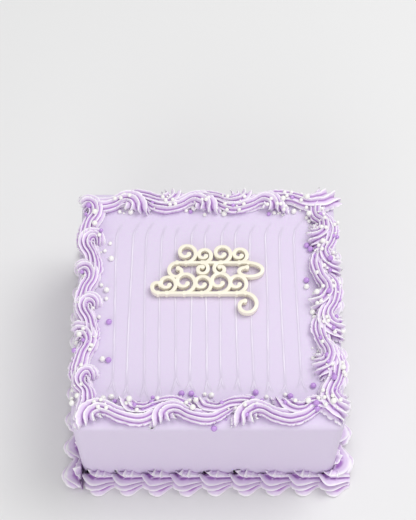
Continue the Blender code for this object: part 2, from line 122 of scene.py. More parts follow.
def take_new(name: str) -> bpy.types.Object:
    """Name the object that was just added.

    Args:
        name: the name for the object and its mesh.

    Returns:
        The object.
    """
    piece = bpy.context.object
    piece.name = name
    piece.data.name = name
    return piece


def only(piece: bpy.types.Object) -> None:
    """Select one object alone and make it active.

    Args:
        piece: the object.
    """
    clear_selection()
    piece.select_set(True)
    bpy.context.view_layer.objects.active = piece


def join(pieces: Sequence[bpy.types.Object], name: str) -> bpy.types.Object:
    """Join objects into one.

    Args:
        pieces: the objects, at least one.
        name: the name of the joined object.

    Returns:
        The joined object.
    """
    clear_selection()
    for piece in pieces:
        piece.select_set(True)
    bpy.context.view_layer.objects.active = pieces[0]
    bpy.ops.object.join()
    return take_new(name)


def edit_all(piece: bpy.types.Object) -> None:
    """Enter edit mode with the whole of one object selected.

    Args:
        piece: the object.
    """
    only(piece)
    bpy.ops.object.mode_set(mode="EDIT")
    bpy.ops.mesh.select_all(action="SELECT")


def select_edges(piece: bpy.types.Object, chosen: Callable[[Vector, Vector], bool]) -> None:
    """Enter edit mode with only some edges selected.

    Args:
        piece: the object.
        chosen: the test that an edge's two ends have to pass.
    """
    edit_all(piece)
    bpy.ops.mesh.select_mode(type="EDGE")
    bpy.ops.mesh.select_all(action="DESELECT")
    bm = bmesh.from_edit_mesh(piece.data)
    for edge in bm.edges:
        edge.select_set(chosen(edge.verts[0].co, edge.verts[1].co))
    bmesh.update_edit_mesh(piece.data)


def smooth_shading(piece: bpy.types.Object, angle: float | None = None) -> None:
    """Shade an object smooth.

    Args:
        piece: the object.
        angle: the sharpest bend that is shaded smooth, in degrees, or None for all.
    """
    only(piece)
    if angle is None:
        bpy.ops.object.shade_smooth()
    else:
        bpy.ops.object.shade_smooth_by_angle(angle=math.radians(angle))


def lofted(name: str, rings: Sequence[Ring], tones: Sequence[Sequence[float]]) -> bpy.types.Object:
    """Draw a cylinder out into a closed body that runs through a list of sections.

    Args:
        name: the object's name.
        rings: the sections from start to end, each with the same number of points. There are 102
            at most, because the operator makes no more cuts.
        tones: for each point, from 0 for painted highlight to 1 for painted shade in a groove.

    Returns:
        The object, with the tones of painted highlight and shade in a point attribute named groove.
    """
    around = len(rings[0])
    last = len(rings) - 1
    clear_selection()
    bpy.ops.mesh.primitive_cylinder_add(
        vertices=around, radius=1, depth=1, end_fill_type="NGON", location=(0, 0, 0.5))
    piece = take_new(name)
    bpy.ops.object.transform_apply(location=True)
    select_edges(piece, lambda a, b: a.z != b.z)
    bpy.ops.mesh.subdivide(number_cuts=last - 1)
    bpy.ops.object.mode_set(mode="OBJECT")
    groove = piece.data.attributes.new("groove", "FLOAT", "POINT")
    for index, vertex in enumerate(piece.data.vertices):
        turn = math.atan2(vertex.co.x, vertex.co.y) / math.tau
        i = round(turn * around) % around
        j = round(vertex.co.z * last)
        vertex.co = rings[j][i]
        groove.data[index].value = tones[j][i]
    return piece


def face_outwards(piece: bpy.types.Object) -> None:
    """Turn the faces of a closed object outwards.

    Args:
        piece: the object.
    """
    edit_all(piece)
    bpy.ops.mesh.normals_make_consistent(inside=False)
    bpy.ops.object.mode_set(mode="OBJECT")


def hand_over(
        piece: bpy.types.Object, material: bpy.types.Material,
        nodes: Sequence[str] = ()) -> None:
    """Dress a finished piece and tell the frame what it is.

    Args:
        piece: the finished object.
        material: its only material.
        nodes: the nodes that it stands for.
    """
    piece.data.materials.clear()
    piece.data.materials.append(material)
    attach(piece, BODY)
    if nodes:
        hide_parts(*nodes)
    log.info("%s: %d faces", piece.name, len(piece.data.polygons))


def between(low: float, high: float, share: float) -> float:
    """Return the value that lies this share of the way from low to high."""
    return low + (high - low) * share


def ease(share: float) -> float:
    """Return a share from 0 to 1 with a soft start and end."""
    share = min(max(share, 0.0), 1.0)
    return share * share * (3 - 2 * share)


def dome(share: float) -> float:
    """Return the height of a quarter circle at a share of its run, and 1 past it."""
    return math.sqrt(max(0.0, 1 - max(0.0, 1 - share) ** 2))


@dataclass(frozen=True)
class Fade:
    """A soft change from one value to another between two places."""

    start: float
    end: float
    before: float = 0.0
    after: float = 1.0

    def at(self, place: float) -> float:
        """Return the value at a place."""
        share = (place - self.start) / (self.end - self.start)
        return between(self.before, self.after, ease(share))


def ragged(place: float, row: float, seed: float) -> float:
    """Return noise from about -1 to 1 along a line.

    Args:
        place: how far along the line.
        row: which line.
        seed: which piece.

    Returns:
        The noise.
    """
    return noise.noise(Vector((place, row * ROW_APART, seed * SEED_APART)))


# Finishes


@dataclass(frozen=True)
class Grain:
    """Noise on a piece's own coordinates: how fine, detailed and rough it is."""

    scale: float
    detail: float = 2
    roughness: float = 0.5


class NodeBoard:
    """A node tree with short ways to add nodes and links."""

    def __init__(self, tree: bpy.types.NodeTree) -> None:
        """Start from a tree as it is."""
        self.tree = tree

    def put(self, value: object, target: bpy.types.NodeSocket) -> None:
        """Give an input what it reads.

        Args:
            value: a socket to link, or a number or colour to set.
            target: the input socket.
        """
        if isinstance(value, bpy.types.NodeSocket):
            self.tree.links.new(value, target)
        elif target.type == "RGBA":
            target.default_value = (*value, 1.0)
        else:
            target.default_value = value

    def fill(self, node: bpy.types.Node, inputs: dict[str, object]) -> bpy.types.Node:
        """Give a node's inputs what they read.

        Args:
            node: the node.
            inputs: a socket, number or colour for each of its inputs, by name.

        Returns:
            The node.
        """
        for name, value in inputs.items():
            self.put(value, node.inputs[name])
        return node

    def add(self, kind: str, inputs: dict[str, object], **values: object) -> bpy.types.Node:
        """Add a node.

        Args:
            kind: the node's type.
            inputs: a socket, number or colour for each of its inputs, by name.
            **values: the node's own properties.

        Returns:
            The node.
        """
        node = self.tree.nodes.new(kind)
        for key, value in values.items():
            setattr(node, key, value)
        return self.fill(node, inputs)

    def math(self, operation: str, first: object, second: object) -> bpy.types.NodeSocket:
        """Add a math node and return its output.

        Args:
            operation: the node's operation.
            first: a socket or a number.
            second: a socket or a number.

        Returns:
            The output socket.
        """
        node = self.add("ShaderNodeMath", {}, operation=operation)
        self.put(first, node.inputs[0])
        self.put(second, node.inputs[1])
        return node.outputs[0]

    def mix(self, share: object, first: object, second: object) -> bpy.types.NodeSocket:
        """Add a colour mix and return its output.

        Args:
            share: a socket or a number, 0 for the first colour and 1 for the second.
            first: a socket or a colour.
            second: a socket or a colour.

        Returns:
            The output socket.
        """
        node = self.add("ShaderNodeMix", {}, data_type="RGBA")
        for name, value in (("Factor_Float", share), ("A_Color", first), ("B_Color", second)):
            self.put(value, next(s for s in node.inputs if s.identifier == name))
        return next(s for s in node.outputs if s.identifier == "Result_Color")

    def soft_step(
            self, value: bpy.types.NodeSocket, start: float, end: float) -> bpy.types.NodeSocket:
        """Add a soft rise from 0 to 1 and return its output.

        Args:
            value: what it reads.
            start: the value up to which it gives 0.
            end: the value from which it gives 1.

        Returns:
            The output socket.
        """
        return self.add(
            "ShaderNodeMapRange", {"Value": value, "From Min": start, "From Max": end},
            interpolation_type="SMOOTHSTEP").outputs[0]

    def grain(self, grain: Grain) -> bpy.types.NodeSocket:
        """Add noise on the object's own coordinates and return its value.

        Args:
            grain: what the noise is like.

        Returns:
            The output socket.
        """
        return self.add("ShaderNodeTexNoise", {
            "Vector": self.add("ShaderNodeTexCoord", {}).outputs["Object"],
            "Scale": grain.scale, "Detail": grain.detail, "Roughness": grain.roughness,
        }).outputs["Fac"]

    def bump(
            self, height: bpy.types.NodeSocket, strength: float,
            distance: float) -> bpy.types.NodeSocket:
        """Add a bump and return its normal.

        Args:
            height: the relief that it reads.
            strength: how strongly it counts, from 0 to 1.
            distance: how high the relief is.

        Returns:
            The output socket.
        """
        return self.add("ShaderNodeBump", {
            "Height": height, "Strength": strength, "Distance": distance}).outputs["Normal"]


def start_material(
        name: str, inputs: dict[str, object]
        ) -> tuple[bpy.types.Material, NodeBoard, bpy.types.Node]:
    """Start a material.

    Args:
        name: its name.
        inputs: a number or colour for each of its shader's inputs, by name.

    Returns:
        The material, its board and its shader.
    """
    material = bpy.data.materials.new(name)
    material.use_nodes = True
    board = NodeBoard(material.node_tree)
    shader = board.fill(board.tree.nodes["Principled BSDF"], inputs)
    return material, board, shader


@dataclass(frozen=True)
class CreamPaintedLight:
    """Painted highlight on buttercream's raised edges and painted shade down in its grooves."""

    painted_highlight_until: float = 0.42
    painted_shade_from: float = 0.5
    mottle: Grain = Grain(90, 3, 0.55)
    broad: Grain = Grain(260)
    fine: Grain = Grain(1400)
    fine_share: float = 0.35
    sockets: tuple[tuple[str, str, str], ...] = (
        ("Groove", "INPUT", "Float"), ("Edge Colour", "INPUT", "Color"),
        ("Cream Colour", "INPUT", "Color"), ("Groove Colour", "INPUT", "Color"),
        ("Mottling", "INPUT", "Float"), ("Colour", "OUTPUT", "Color"),
        ("Surface", "OUTPUT", "Float"))

    def group(self) -> bpy.types.NodeTree:
        """Build the shader node group.

        Returns:
            The group.
        """
        tree = bpy.data.node_groups.new("cream_tone", "ShaderNodeTree")
        for label, way, kind in self.sockets:
            tree.interface.new_socket(label, in_out=way, socket_type=f"NodeSocket{kind}")
        board = NodeBoard(tree)
        given = board.add("NodeGroupInput", {}).outputs
        # The Groove input holds painted light: low on raised edges, high deep in grooves
        centred = board.math("SUBTRACT", board.grain(self.mottle), 0.5)
        mottled = board.math(
            "ADD", given["Groove"], board.math("MULTIPLY", centred, given["Mottling"]))
        # Painted highlight on raised edges, where the tone is low
        light = board.mix(
            board.soft_step(mottled, 0.0, self.painted_highlight_until),
            given["Edge Colour"], given["Cream Colour"])
        # Painted shade in grooves, where the tone is high
        depth = board.soft_step(mottled, self.painted_shade_from, 1.0)
        fine = board.math("MULTIPLY", board.grain(self.fine), self.fine_share)
        board.add("NodeGroupOutput", {
            "Colour": board.mix(depth, light, given["Groove Colour"]),
            "Surface": board.math("ADD", fine, board.grain(self.broad))})
        return tree


@dataclass(frozen=True)
class CreamFinish:
    """Lilac buttercream with painted highlight on its raised edges and painted shade in its
    grooves.
    """

    name: str
    # The edge colour is a painted highlight and the groove colour a painted shade
    edge: Colour
    cream: Colour
    groove: Colour
    mottling: float
    roughness: float
    bump: float
    bump_height: float = 0.1 * MM
    specular: float = 0.35
    glow: float = 0.12
    glow_colour: Colour = (1.0, 0.7, 1.0)
    glow_depth: float = 0.8 * MM

    def material(self, tone: bpy.types.NodeTree) -> bpy.types.Material:
        """Return the material.

        Args:
            tone: the shared group that paints highlight onto edges and shade into grooves.

        Returns:
            The new material.
        """
        material, board, shader = start_material(self.name, {
            "Roughness": self.roughness, "Specular IOR Level": self.specular,
            "Subsurface Weight": self.glow, "Subsurface Radius": self.glow_colour,
            "Subsurface Scale": self.glow_depth})
        # The groove attribute carries the painted highlight and painted shade
        groove = board.add("ShaderNodeAttribute", {}, attribute_name="groove")
        group = board.add("ShaderNodeGroup", {}, node_tree=tone)
        board.fill(group, {
            "Groove": groove.outputs["Fac"], "Edge Colour": self.edge,
            "Cream Colour": self.cream, "Groove Colour": self.groove,
            "Mottling": self.mottling})
        board.fill(shader, {
            "Base Color": group.outputs["Colour"],
            "Normal": board.bump(group.outputs["Surface"], self.bump, self.bump_height)})
        return material


@dataclass(frozen=True)
class SugarFinish:
    """A pearl's glazed sugar, a little uneven in colour."""

    name: str
    light: Colour
    dark: Colour
    roughness: float
    glaze: float = 0.5
    glaze_roughness: float = 0.12
    blotches: Grain = Grain(420)

    def material(self) -> bpy.types.Material:
        """Return the material.

        Returns:
            The new material.
        """
        material, board, shader = start_material(self.name, {
            "Roughness": self.roughness, "Coat Weight": self.glaze,
            "Coat Roughness": self.glaze_roughness})
        colour = board.mix(board.grain(self.blotches), self.light, self.dark)
        board.fill(shader, {"Base Color": colour})
        return material


@dataclass(frozen=True)
class SheetFinish:
    """The scrollwork plate's ivory sheet, with a faint cloud in it."""

    name: str
    light: Colour
    dark: Colour
    roughness: float
    cloud: Grain = Grain(160, 3)
    tooth: Grain = Grain(1100)
    bump: float = 0.1
    bump_height: float = 0.05 * MM

    def material(self) -> bpy.types.Material:
        """Return the material.

        Returns:
            The new material.
        """
        material, board, shader = start_material(self.name, {"Roughness": self.roughness})
        board.fill(shader, {
            "Base Color": board.mix(board.grain(self.cloud), self.light, self.dark),
            "Normal": board.bump(board.grain(self.tooth), self.bump, self.bump_height)})
        return material


# Each cream: painted highlight colour for raised edges, plain cream, and painted shade colour for
# grooves
SMOOTH_CREAM = CreamFinish(
    "smooth_buttercream", (0.86, 0.80, 0.92), (0.715, 0.63, 0.80), (0.62, 0.50, 0.73),
    mottling=0.10, roughness=0.5, bump=0.25)
PIPED_CREAM = CreamFinish(
    "piped_buttercream", (0.985, 0.965, 0.99), (0.785, 0.665, 0.86), (0.46, 0.22, 0.59),
    mottling=0.22, roughness=0.42, bump=0.4)
WHITE_SUGAR = SugarFinish("white_sugar_pearl", (0.95, 0.95, 0.91), (0.88, 0.88, 0.84), 0.25)
PURPLE_SUGAR = SugarFinish("purple_sugar_pearl", (0.62, 0.38, 0.78), (0.44, 0.22, 0.64), 0.22)
IVORY_SHEET = SheetFinish("ivory_sheet", (0.93, 0.89, 0.76), (0.88, 0.83, 0.68), 0.35)


# Block of cake


@dataclass
class SpatulaMarks:
    """The low ridges that the spatula left along the flat top, each parting into two arcs."""

    count: int = 13
    pitch: float = 7.28 * MM
    offset: float = -1.0 * MM
    front: float = -47 * MM
    front_gap: tuple[float, float] = (4 * MM, 9 * MM)
    back: float = 47 * MM
    back_gap: tuple[float, float] = (0, 4 * MM)
    strengths: tuple[float, float] = (0.7, 1.15)
    sway: float = 0.45 * MM
    sway_turn: float = 45
    shake: float = 0.12 * MM
    shake_density: float = 300
    hook: float = 11 * MM
    hook_reach: float = 4.2 * MM
    hook_power: float = 2.2
    ridge_ends: Fade = Fade(0, 1 / 9)
    patches: float = 9
    patch_mean: float = 0.75
    patch_swing: float = 0.5
    patch_seed: int = 2
    fork: float = 7.5 * MM
    fork_lengths: tuple[float, float] = (0.7, 1.2)
    fork_overlap: float = 2 * MM
    fork_spread: float = 1.9 * MM
    fork_spreads: tuple[float, float] = (0.6, 1.3)
    fork_power: float = 1.6
    fork_height: float = 0.55
    fork_start: Fade = Fade(0, 1 / 6)
    fork_end: Fade = Fade(0, 0.5)
    half_width: float = 0.75 * MM
    height: float = 0.3 * MM
    edge_sink: float = 0.03 * MM
    root: float = 0.4 * MM
    across: int = 9
    along: int = 90

    def centre(self, x: float, y: float, phase: float) -> float:
        """Return where a ridge runs.

        Args:
            x: the ridge's place.
            y: how far back.
            phase: the ridge's own sway.

        Returns:
            Its X there.
        """
        sway = self.sway * math.sin(phase + self.sway_turn * y)
        shake = self.shake * ragged(y * self.shake_density, 0, phase)
        back = max(0.0, y - (self.back - self.hook)) / self.hook
        return x + sway + shake + self.hook_reach * back ** self.hook_power

    def strip(
            self, name: str, line: Callable[[float], tuple[float, float]],
            height: Callable[[float], float]) -> bpy.types.Object:
        """Lay one strip of raised cream.

        Args:
            name: the object's name.
            line: the strip's X and Y at a share of its length.
            height: its height at a share of its length.

        Returns:
            The strip.
        """
        rings = []
        tones = []
        for j in range(self.along):
            t = j / (self.along - 1)
            x, y = line(t)
            crest = height(t)
            ring = []
            for i in range(self.across):
                place = 2 * i / (self.across - 1) - 1
                rise = crest * (1 + math.cos(math.pi * place)) / 2 - self.edge_sink
                ring.append(Vector((x + self.half_width * place, y, BODY_HEIGHT + rise)))
            ring.append(Vector((x, y, BODY_HEIGHT - self.root)))
            rings.append(ring)
            # Painted highlight along each ridge's crest, fading to plain tone at its foot
            tones.append([
                max(0.0, PLAIN_TONE * (1 - max(0.0, point.z - BODY_HEIGHT) / self.height))
                for point in ring])
        return lofted(name, rings, tones)

    def arc(self, name: str, start: Vector, way: int, rng: random.Random) -> bpy.types.Object:
        """Build one of the two arcs that a ridge parts into at the front.

        Args:
            name: the object's name.
            start: the ridge's front end, with the ridge's full height as its Z.
            way: -1 for the left arc and 1 for the right one.
            rng: the draws for all strips.

        Returns:
            The strip.
        """
        length = self.fork * rng.uniform(*self.fork_lengths)
        spread = self.fork_spread * rng.uniform(*self.fork_spreads)

        def line(t: float) -> tuple[float, float]:
            """Return the arc's X and Y at a share of its length."""
            away = way * spread * t ** self.fork_power
            return start.x + away, start.y + self.fork_overlap - length * t

        def height(t: float) -> float:
            """Return the arc's height at a share of its length."""
            return start.z * self.fork_height * self.fork_start.at(t) * self.fork_end.at(1 - t)

        return self.strip(name, line, height)

    def ridge(self, index: int, rng: random.Random) -> list[bpy.types.Object]:
        """Build one ridge and its two arcs.

        Args:
            index: which ridge, counted from the left.
            rng: the draws for all strips.

        Returns:
            The strips.
        """
        x = self.offset + (index - (self.count - 1) / 2) * self.pitch
        phase = rng.uniform(0, math.tau)
        front = self.front + rng.uniform(*self.front_gap)
        back = self.back - rng.uniform(*self.back_gap)
        full = self.height * rng.uniform(*self.strengths)

        def line(t: float) -> tuple[float, float]:
            """Return the ridge's X and Y at a share of its length."""
            y = between(front, back, t)
            return self.centre(x, y, phase), y

        def height(t: float) -> float:
            """Return the ridge's height at a share of its length."""
            patch = self.patch_swing * ragged(t * self.patches, index, self.patch_seed)
            return full * self.ridge_ends.at(min(t, 1 - t)) * (self.patch_mean + patch)

        start = Vector((self.centre(x, front, phase), front, full))
        arcs = [self.arc(f"arc_{index}_{way}", start, way, rng) for way in (-1, 1)]
        return [self.strip(f"ridge_{index}", line, height), *arcs]

    def build(self) -> list[bpy.types.Object]:
        """Build the strips of all ridges."""
        rng = random.Random("spatula")
        return [strip for index in range(self.count) for strip in self.ridge(index, rng)]


@dataclass
class CakeBlock:
    """The smooth block, rounded at its upright corners and along its top edge."""

    corner_radius: float = 5.5 * MM
    corner_faces: int = 8
    edge_radius: float = 2.5 * MM
    edge_faces: int = 6
    cut_pitch: float = 3.5 * MM
    wobble: float = 0.16 * MM
    broad_waves: tuple[float, float, float] = (28, 28, 28)
    narrow_waves: tuple[float, float, float] = (20, 20, 160)
    narrow_share: float = 0.35
    tone_share: float = 0.06
    flat_from: float = 0.9
    shading_angle: float = 50
    marks: SpatulaMarks = field(default_factory=SpatulaMarks)

    def block(self) -> bpy.types.Object:
        """Build the bevelled block, cut fine enough to be uneven.

        Returns:
            The block.
        """
        clear_selection()
        bpy.ops.mesh.primitive_cube_add(size=1, location=(0, 0, BODY_HEIGHT / 2))
        piece = take_new("cake_block")
        piece.scale = (BODY_WIDTH, BODY_WIDTH, BODY_HEIGHT)
        only(piece)
        bpy.ops.object.transform_apply(location=True, rotation=True, scale=True)
        for width, faces, chosen in (
                (self.corner_radius, self.corner_faces,
                 lambda a, b: abs(a.z - b.z) > BODY_HEIGHT / 2),
                (self.edge_radius, self.edge_faces,
                 lambda a, b: min(a.z, b.z) > BODY_HEIGHT - GAP)):
            select_edges(piece, chosen)
            bpy.ops.mesh.bevel(offset=width, segments=faces)
            bpy.ops.object.mode_set(mode="OBJECT")
        edit_all(piece)
        for axis, low, high in ((0, -HALF, HALF), (1, -HALF, HALF), (2, 0, BODY_HEIGHT)):
            cuts = round((high - low) / self.cut_pitch)
            for k in range(1, cuts):
                point = Vector((0, 0, 0))
                point[axis] = between(low, high, k / cuts)
                normal = Vector((0, 0, 0))
                normal[axis] = 1
                bpy.ops.mesh.select_all(action="SELECT")
                bpy.ops.mesh.bisect(plane_co=point, plane_no=normal)
        bpy.ops.object.mode_set(mode="OBJECT")
        return piece

    def unevenness(self, point: Vector) -> float:
        """Tell how far the hand-smoothed surface stands off the true block.

        Args:
            point: a point of the block.

        Returns:
            The distance there, from about -1 to 1.
        """
        broad, narrow = (
            noise.noise(Vector([a * b for a, b in zip(point, waves)]))
            for waves in (self.broad_waves, self.narrow_waves))
        return broad + self.narrow_share * narrow

    def build(self, material: bpy.types.Material) -> bpy.types.Object:
        """Build the block with its spatula marks.

        Args:
            material: the smooth cream.

        Returns:
            The finished piece.
        """
        piece = self.block()
        groove = piece.data.attributes.new("groove", "FLOAT", "POINT")
        normals = [vertex.normal.copy() for vertex in piece.data.vertices]
        for index, vertex in enumerate(piece.data.vertices):
            away = self.unevenness(vertex.co)
            if vertex.co.z > GAP and normals[index].z <= self.flat_from:
                vertex.co += normals[index] * (self.wobble * away)
            groove.data[index].value = PLAIN_TONE + self.tone_share * away
        whole = join([piece, *self.marks.build()], "cake_skin")
        face_outwards(whole)
        smooth_shading(whole, self.shading_angle)
        hand_over(whole, material, ["cake"])
        return whole


# Top border


@dataclass(frozen=True)
class Station:
    """One section of a piped stroke, in millimetres and degrees.

    Along is the way the run goes, out is away from the middle of the cake, and a heading of 90
    points inwards.
    """

    along: float
    out: float
    heading: float
    half_width: float
    height: float

    def values(self) -> tuple[float, ...]:
        """Return the numbers in order."""
        return (self.along, self.out, self.heading, self.half_width, self.height)


def smooth_station(stations: Sequence[Station], place: float) -> Station:
    """Return the station at a place between others, on a smooth curve through them.

    Args:
        stations: the known stations.
        place: the place, counted in stations.

    Returns:
        The station there.
    """
    low = min(max(int(place), 0), len(stations) - 2)
    share = place - low
    rows = [stations[min(max(low + k, 0), len(stations) - 1)].values() for k in (-1, 0, 1, 2)]
    numbers = []
    for before, near, far, after in zip(*rows):
        pull_near = (far - before) / 2
        pull_far = (after - near) / 2
        a = 2 * near - 2 * far + pull_near + pull_far
        b = -3 * near + 3 * far - 2 * pull_near - pull_far
        numbers.append(((a * share + b) * share + pull_near) * share + near)
    return Station(*numbers)


# The head of a stroke, by how far it curls: laid straight, turned in, or curled right round.
# Each row holds the numbers of a station.
HEADS = (
    (
        (-6.0, -0.6, 14, 7.0, 2.2),
        (-5.0, -0.8, 11, 7.0, 6.6),
        (-2.8, -1.2, 4, 6.6, 8.0),
        (0.2, -1.6, -3, 5.8, 8.8),
        (3.6, -1.6, -9, 5.0, 8.9),
        (7.6, -1.2, -14, 4.4, 8.5),
    ),
    (
        (-1.2, 0.9, 118, 6.2, 2.2),
        (-0.5, 0.6, 106, 6.2, 6.6),
        (0.3, 0.1, 90, 6.1, 8.0),
        (2.0, -1.8, 58, 5.2, 8.7),
        (4.9, -2.7, 22, 3.9, 8.9),
        (8.1, -2.2, -16, 3.0, 8.6),
    ),
    (
        (6.6, 2.7, 185, 2.8, 2.2),
        (3.9, 3.1, 165, 3.2, 6.4),
        (1.0, 1.5, 120, 4.1, 8.0),
        (0.9, -1.2, 76, 4.6, 8.7),
        (3.4, -3.1, 28, 4.3, 9.0),
        (7.4, -2.6, -16, 3.4, 8.6),
    ),
)
TAIL = (
    (12.3, -0.2, -22, 3.1, 7.9),
    (18.0, 0.8, -6, 3.7, 7.3),
    (21.7, 0.5, 8, 3.8, 6.9),
    (25.4, -1.0, 24, 3.3, 6.2),
    (29.0, -3.1, 32, 2.6, 5.2),
    (32.8, -5.2, 36, 1.3, 2.8),
)
# How far the ridges of a head reach back, from the outer side in, in millimetres
FINS = ((0.6, 2.8, 4.0, 3.6, 1.8), (1.6, 3.0, 4.6, 5.6, 5.4), (0.8, 1.4, 1.6, 1.4, 1.0))


def blade(place: float, crest_at: float) -> float:
    """Return how near a point across a ridge is to the ridge's crest.

    Args:
        place: the place across all ridges, with one to a unit.
        crest_at: where in its own width a ridge has its crest, from 0 to 1.

    Returns:
        1 on the crest and 0 in the groove beside the ridge.
    """
    within = place % 1.0
    rise = within / crest_at if within < crest_at else (1 - within) / (1 - crest_at)
    return rise ** BLADE_POWER


@dataclass(frozen=True)
class Tears:
    """Places where ridges are torn: how many to a station, in which rows of noise, and from
    what depth on.
    """

    density: float
    row: int
    least: float = 0.0

    def at(self, place: float, ridge: int, seed: int) -> float:
        """Return how deeply a ridge of a stroke is torn at a place along it."""
        return max(0.0, ragged(place * self.density, ridge + self.row, seed) - self.least)


@dataclass(frozen=True)
class Section:
    """One section of a stroke, ready for its points.

    Place is counted in stations, ahead and side are the directions along and across the stroke,
    crown is how much of the fins shows there, and eye how far the head's eye is filled.
    """

    place: float
    centre: Vector
    ahead: Vector
    side: Vector
    half_width: float
    height: float
    groove: float
    crown: float
    eye: float


@dataclass
class PipedStroke:
    """One reverse shell on the front side: a torn, swelling head and a drawn-out tail.

    Places along it are counted in stations, and places across it go from 0 to 1.
    """

    start: float
    inward: bool
    curl: float
    tail_reach: float
    scale: float
    seed: int
    line: float
    breadth: float
    fin_share: float
    ridges: int
    tail_width: float
    around: int = 101
    sections: int = 101
    crowding: float = 1.3
    rounding: float = 0.5
    least_height: float = 0.04
    least_width: float = 0.1
    head_length: float = 2.2
    crest_at: float = 0.26
    crest_sway: float = 0.22
    sway_density: float = 0.9
    sway_row: int = 5
    fullness: float = 0.75
    groove: float = 0.32
    head_groove: float = 0.5
    # How strongly the grooves get painted shade
    groove_painted_shade: float = 0.95
    eye_fill: float = 0.82
    eye_along: Fade = Fade(2.5, 5.5, 1, 0)
    eye_across: Fade = Fade(0.4, 0.6)
    fin_lengths: tuple[float, float] = (0.8, 1.15)
    fin_spreads: tuple[float, float] = (0.9, 0.3)
    fin_crown: Fade = Fade(0, 0.8, 0.6, 1.4)
    fin_crown_power: float = 1.2
    fin_power: float = 0.6
    fin_ends: float = 0.4
    fin_end_density: float = 40
    fin_end_row: int = 3
    heights: tuple[float, float] = (0.86, 1.02)
    frays: Tears = Tears(3.2, 11, 0.12)
    fray_across: Fade = Fade(0.45, 0.95, 0.35, 1.35)
    fray_strengths: tuple[float, float] = (0.275, 0.55)
    fray_depth: float = 0.5
    # How much painted shade the torn pits get
    fray_painted_shade: float = 0.35
    bites: Tears = Tears(9, 31)
    bite_along: Fade = Fade(3, 4)
    bite_across: Fade = Fade(0.6, 0.9)
    bite_depth: float = 0.38
    nicks: Tears = Tears(15, 53)
    nick_depth: float = 0.12
    sink: float = 0.35 * MM
    droop_from: float = HALF - 1.5 * MM
    droop_bend: float = 2.0 * MM
    droop_slope: float = 0.5

    def __post_init__(self) -> None:
        """Draw what differs from one stroke to the next."""
        rng = random.Random(self.seed)
        reaches = self.curled(FINS)
        self.fins = []
        for row in range(self.ridges):
            place = row / (self.ridges - 1) * (len(reaches) - 1)
            low = min(int(place), len(reaches) - 2)
            reach = between(reaches[low], reaches[low + 1], place - low)
            self.fins.append(reach * rng.uniform(*self.fin_lengths) * self.fin_share * MM)
        self.ridge_heights = [rng.uniform(*self.heights) for _ in range(self.ridges)]
        self.fray_strength = rng.uniform(*self.fray_strengths)
        self.fin_spread = between(*self.fin_spreads, min(self.curl, 1.0))

    def curled(self, rows: Sequence[Sequence[float]]) -> list[float]:
        """Return the numbers for this stroke's curl.

        Args:
            rows: the numbers for a straight head, one turned in and one curled right round.

        Returns:
            The numbers between two of the rows.
        """
        lower = min(int(self.curl), len(rows) - 2)
        share = self.curl - lower
        return [between(near, far, share) for near, far in zip(rows[lower], rows[lower + 1])]

    def stations(self) -> list[Station]:
        """Lay out the stations of the whole stroke.

        Returns:
            The head's stations and then the tail's.
        """
        head = [Station(*self.curled(rows)) for rows in zip(*HEADS)]
        neck = head[-1].along
        tail = [
            replace(
                s, along=neck + (s.along - neck) * self.tail_reach, out=s.out * self.tail_reach,
                half_width=s.half_width * self.tail_width)
            for s in (Station(*row) for row in TAIL)]
        head = [
            replace(s, half_width=s.half_width * between(
                1, self.tail_width, (k / (len(head) - 1)) ** 2))
            for k, s in enumerate(head)]
        return head + tail

    def droop(self, point: Vector) -> float:
        """Return how far cream that hangs past the top's flat part sinks."""
        past = max(0.0, -point.y - self.droop_from)
        return self.droop_slope * (math.hypot(past, self.droop_bend) - self.droop_bend)

    def section(self, stations: Sequence[Station], place: float) -> Section:
        """Return one section.

        Args:
            stations: the stroke's stations.
            place: the place along the stroke.

        Returns:
            The section there.
        """
        station = smooth_station(stations, place)
        heading = math.radians(station.heading)
        mirror = -1 if self.inward else 1
        end = dome((len(stations) - 1 - place) / self.rounding)
        rise = max(dome(place / self.rounding) * end, self.least_height)
        head = max(0.0, 1 - place / self.head_length)
        return Section(
            place=place,
            centre=Vector((
                self.start + station.along * MM * self.scale,
                -mirror * station.out * MM * self.scale, 0)),
            ahead=Vector((math.cos(heading), mirror * math.sin(heading), 0)),
            side=Vector((math.sin(heading), -mirror * math.cos(heading), 0)),
            half_width=station.half_width * MM * self.scale * max(end, self.least_width),
            height=station.height * MM * rise,
            groove=self.groove * (1 + self.head_groove * head),
            crown=head ** self.fin_crown_power * self.fin_crown.at(place),
            eye=self.eye_fill * self.eye_along.at(place) * min(1.0, self.curl))

    def point(self, section: Section, v: float) -> tuple[Vector, float]:
        """Return one point of a section.

        Args:
            section: the section.
            v: the place across it.

        Returns:
            The point, and its tone: painted highlight on the crest, painted shade in the groove and
                in torn pits.
        """
        angle = math.pi * v
        row = min(int(v * self.ridges), self.ridges - 1)
        torn = (section.place, row, self.seed)
        sway = math.sin(angle) * ragged(
            section.place * self.sway_density, self.sway_row, self.seed)
        crest = blade(v * self.ridges + self.crest_sway * sway, self.crest_at)
        fray = self.frays.at(*torn) * self.fray_across.at(abs(2 * v - 1)) * self.fray_strength
        bite = self.bites.at(*torn) * self.bite_across.at(v) * self.bite_along.at(section.place)
        reach = (1 - section.groove * (1 - crest)) * between(1, self.ridge_heights[row], crest)
        reach -= crest * (
            self.fray_depth * fray + self.bite_depth * bite
            + self.nick_depth * self.nicks.at(*torn))
        point = section.centre - section.side * (section.half_width * math.cos(angle) * reach)
        fin = self.fins[row] * crest ** self.fin_power * section.crown
        fin *= 1 + self.fin_ends * ragged(v * self.fin_end_density, self.fin_end_row, self.seed)
        fan = section.ahead - section.side * ((2 * v - 1) * self.fin_spread)
        point -= fan.normalized() * fin
        point.y = point.y * self.breadth - self.line
        profile = max(math.sin(angle) ** self.fullness, section.eye * self.eye_across.at(v))
        point.z = BODY_HEIGHT - self.sink + section.height * reach * profile - self.droop(point)
        # Painted shade in the groove and in torn pits; the crest keeps the painted highlight
        return point, min(1.0, self.groove_painted_shade * (1 - crest) + self.fray_painted_shade * fray)

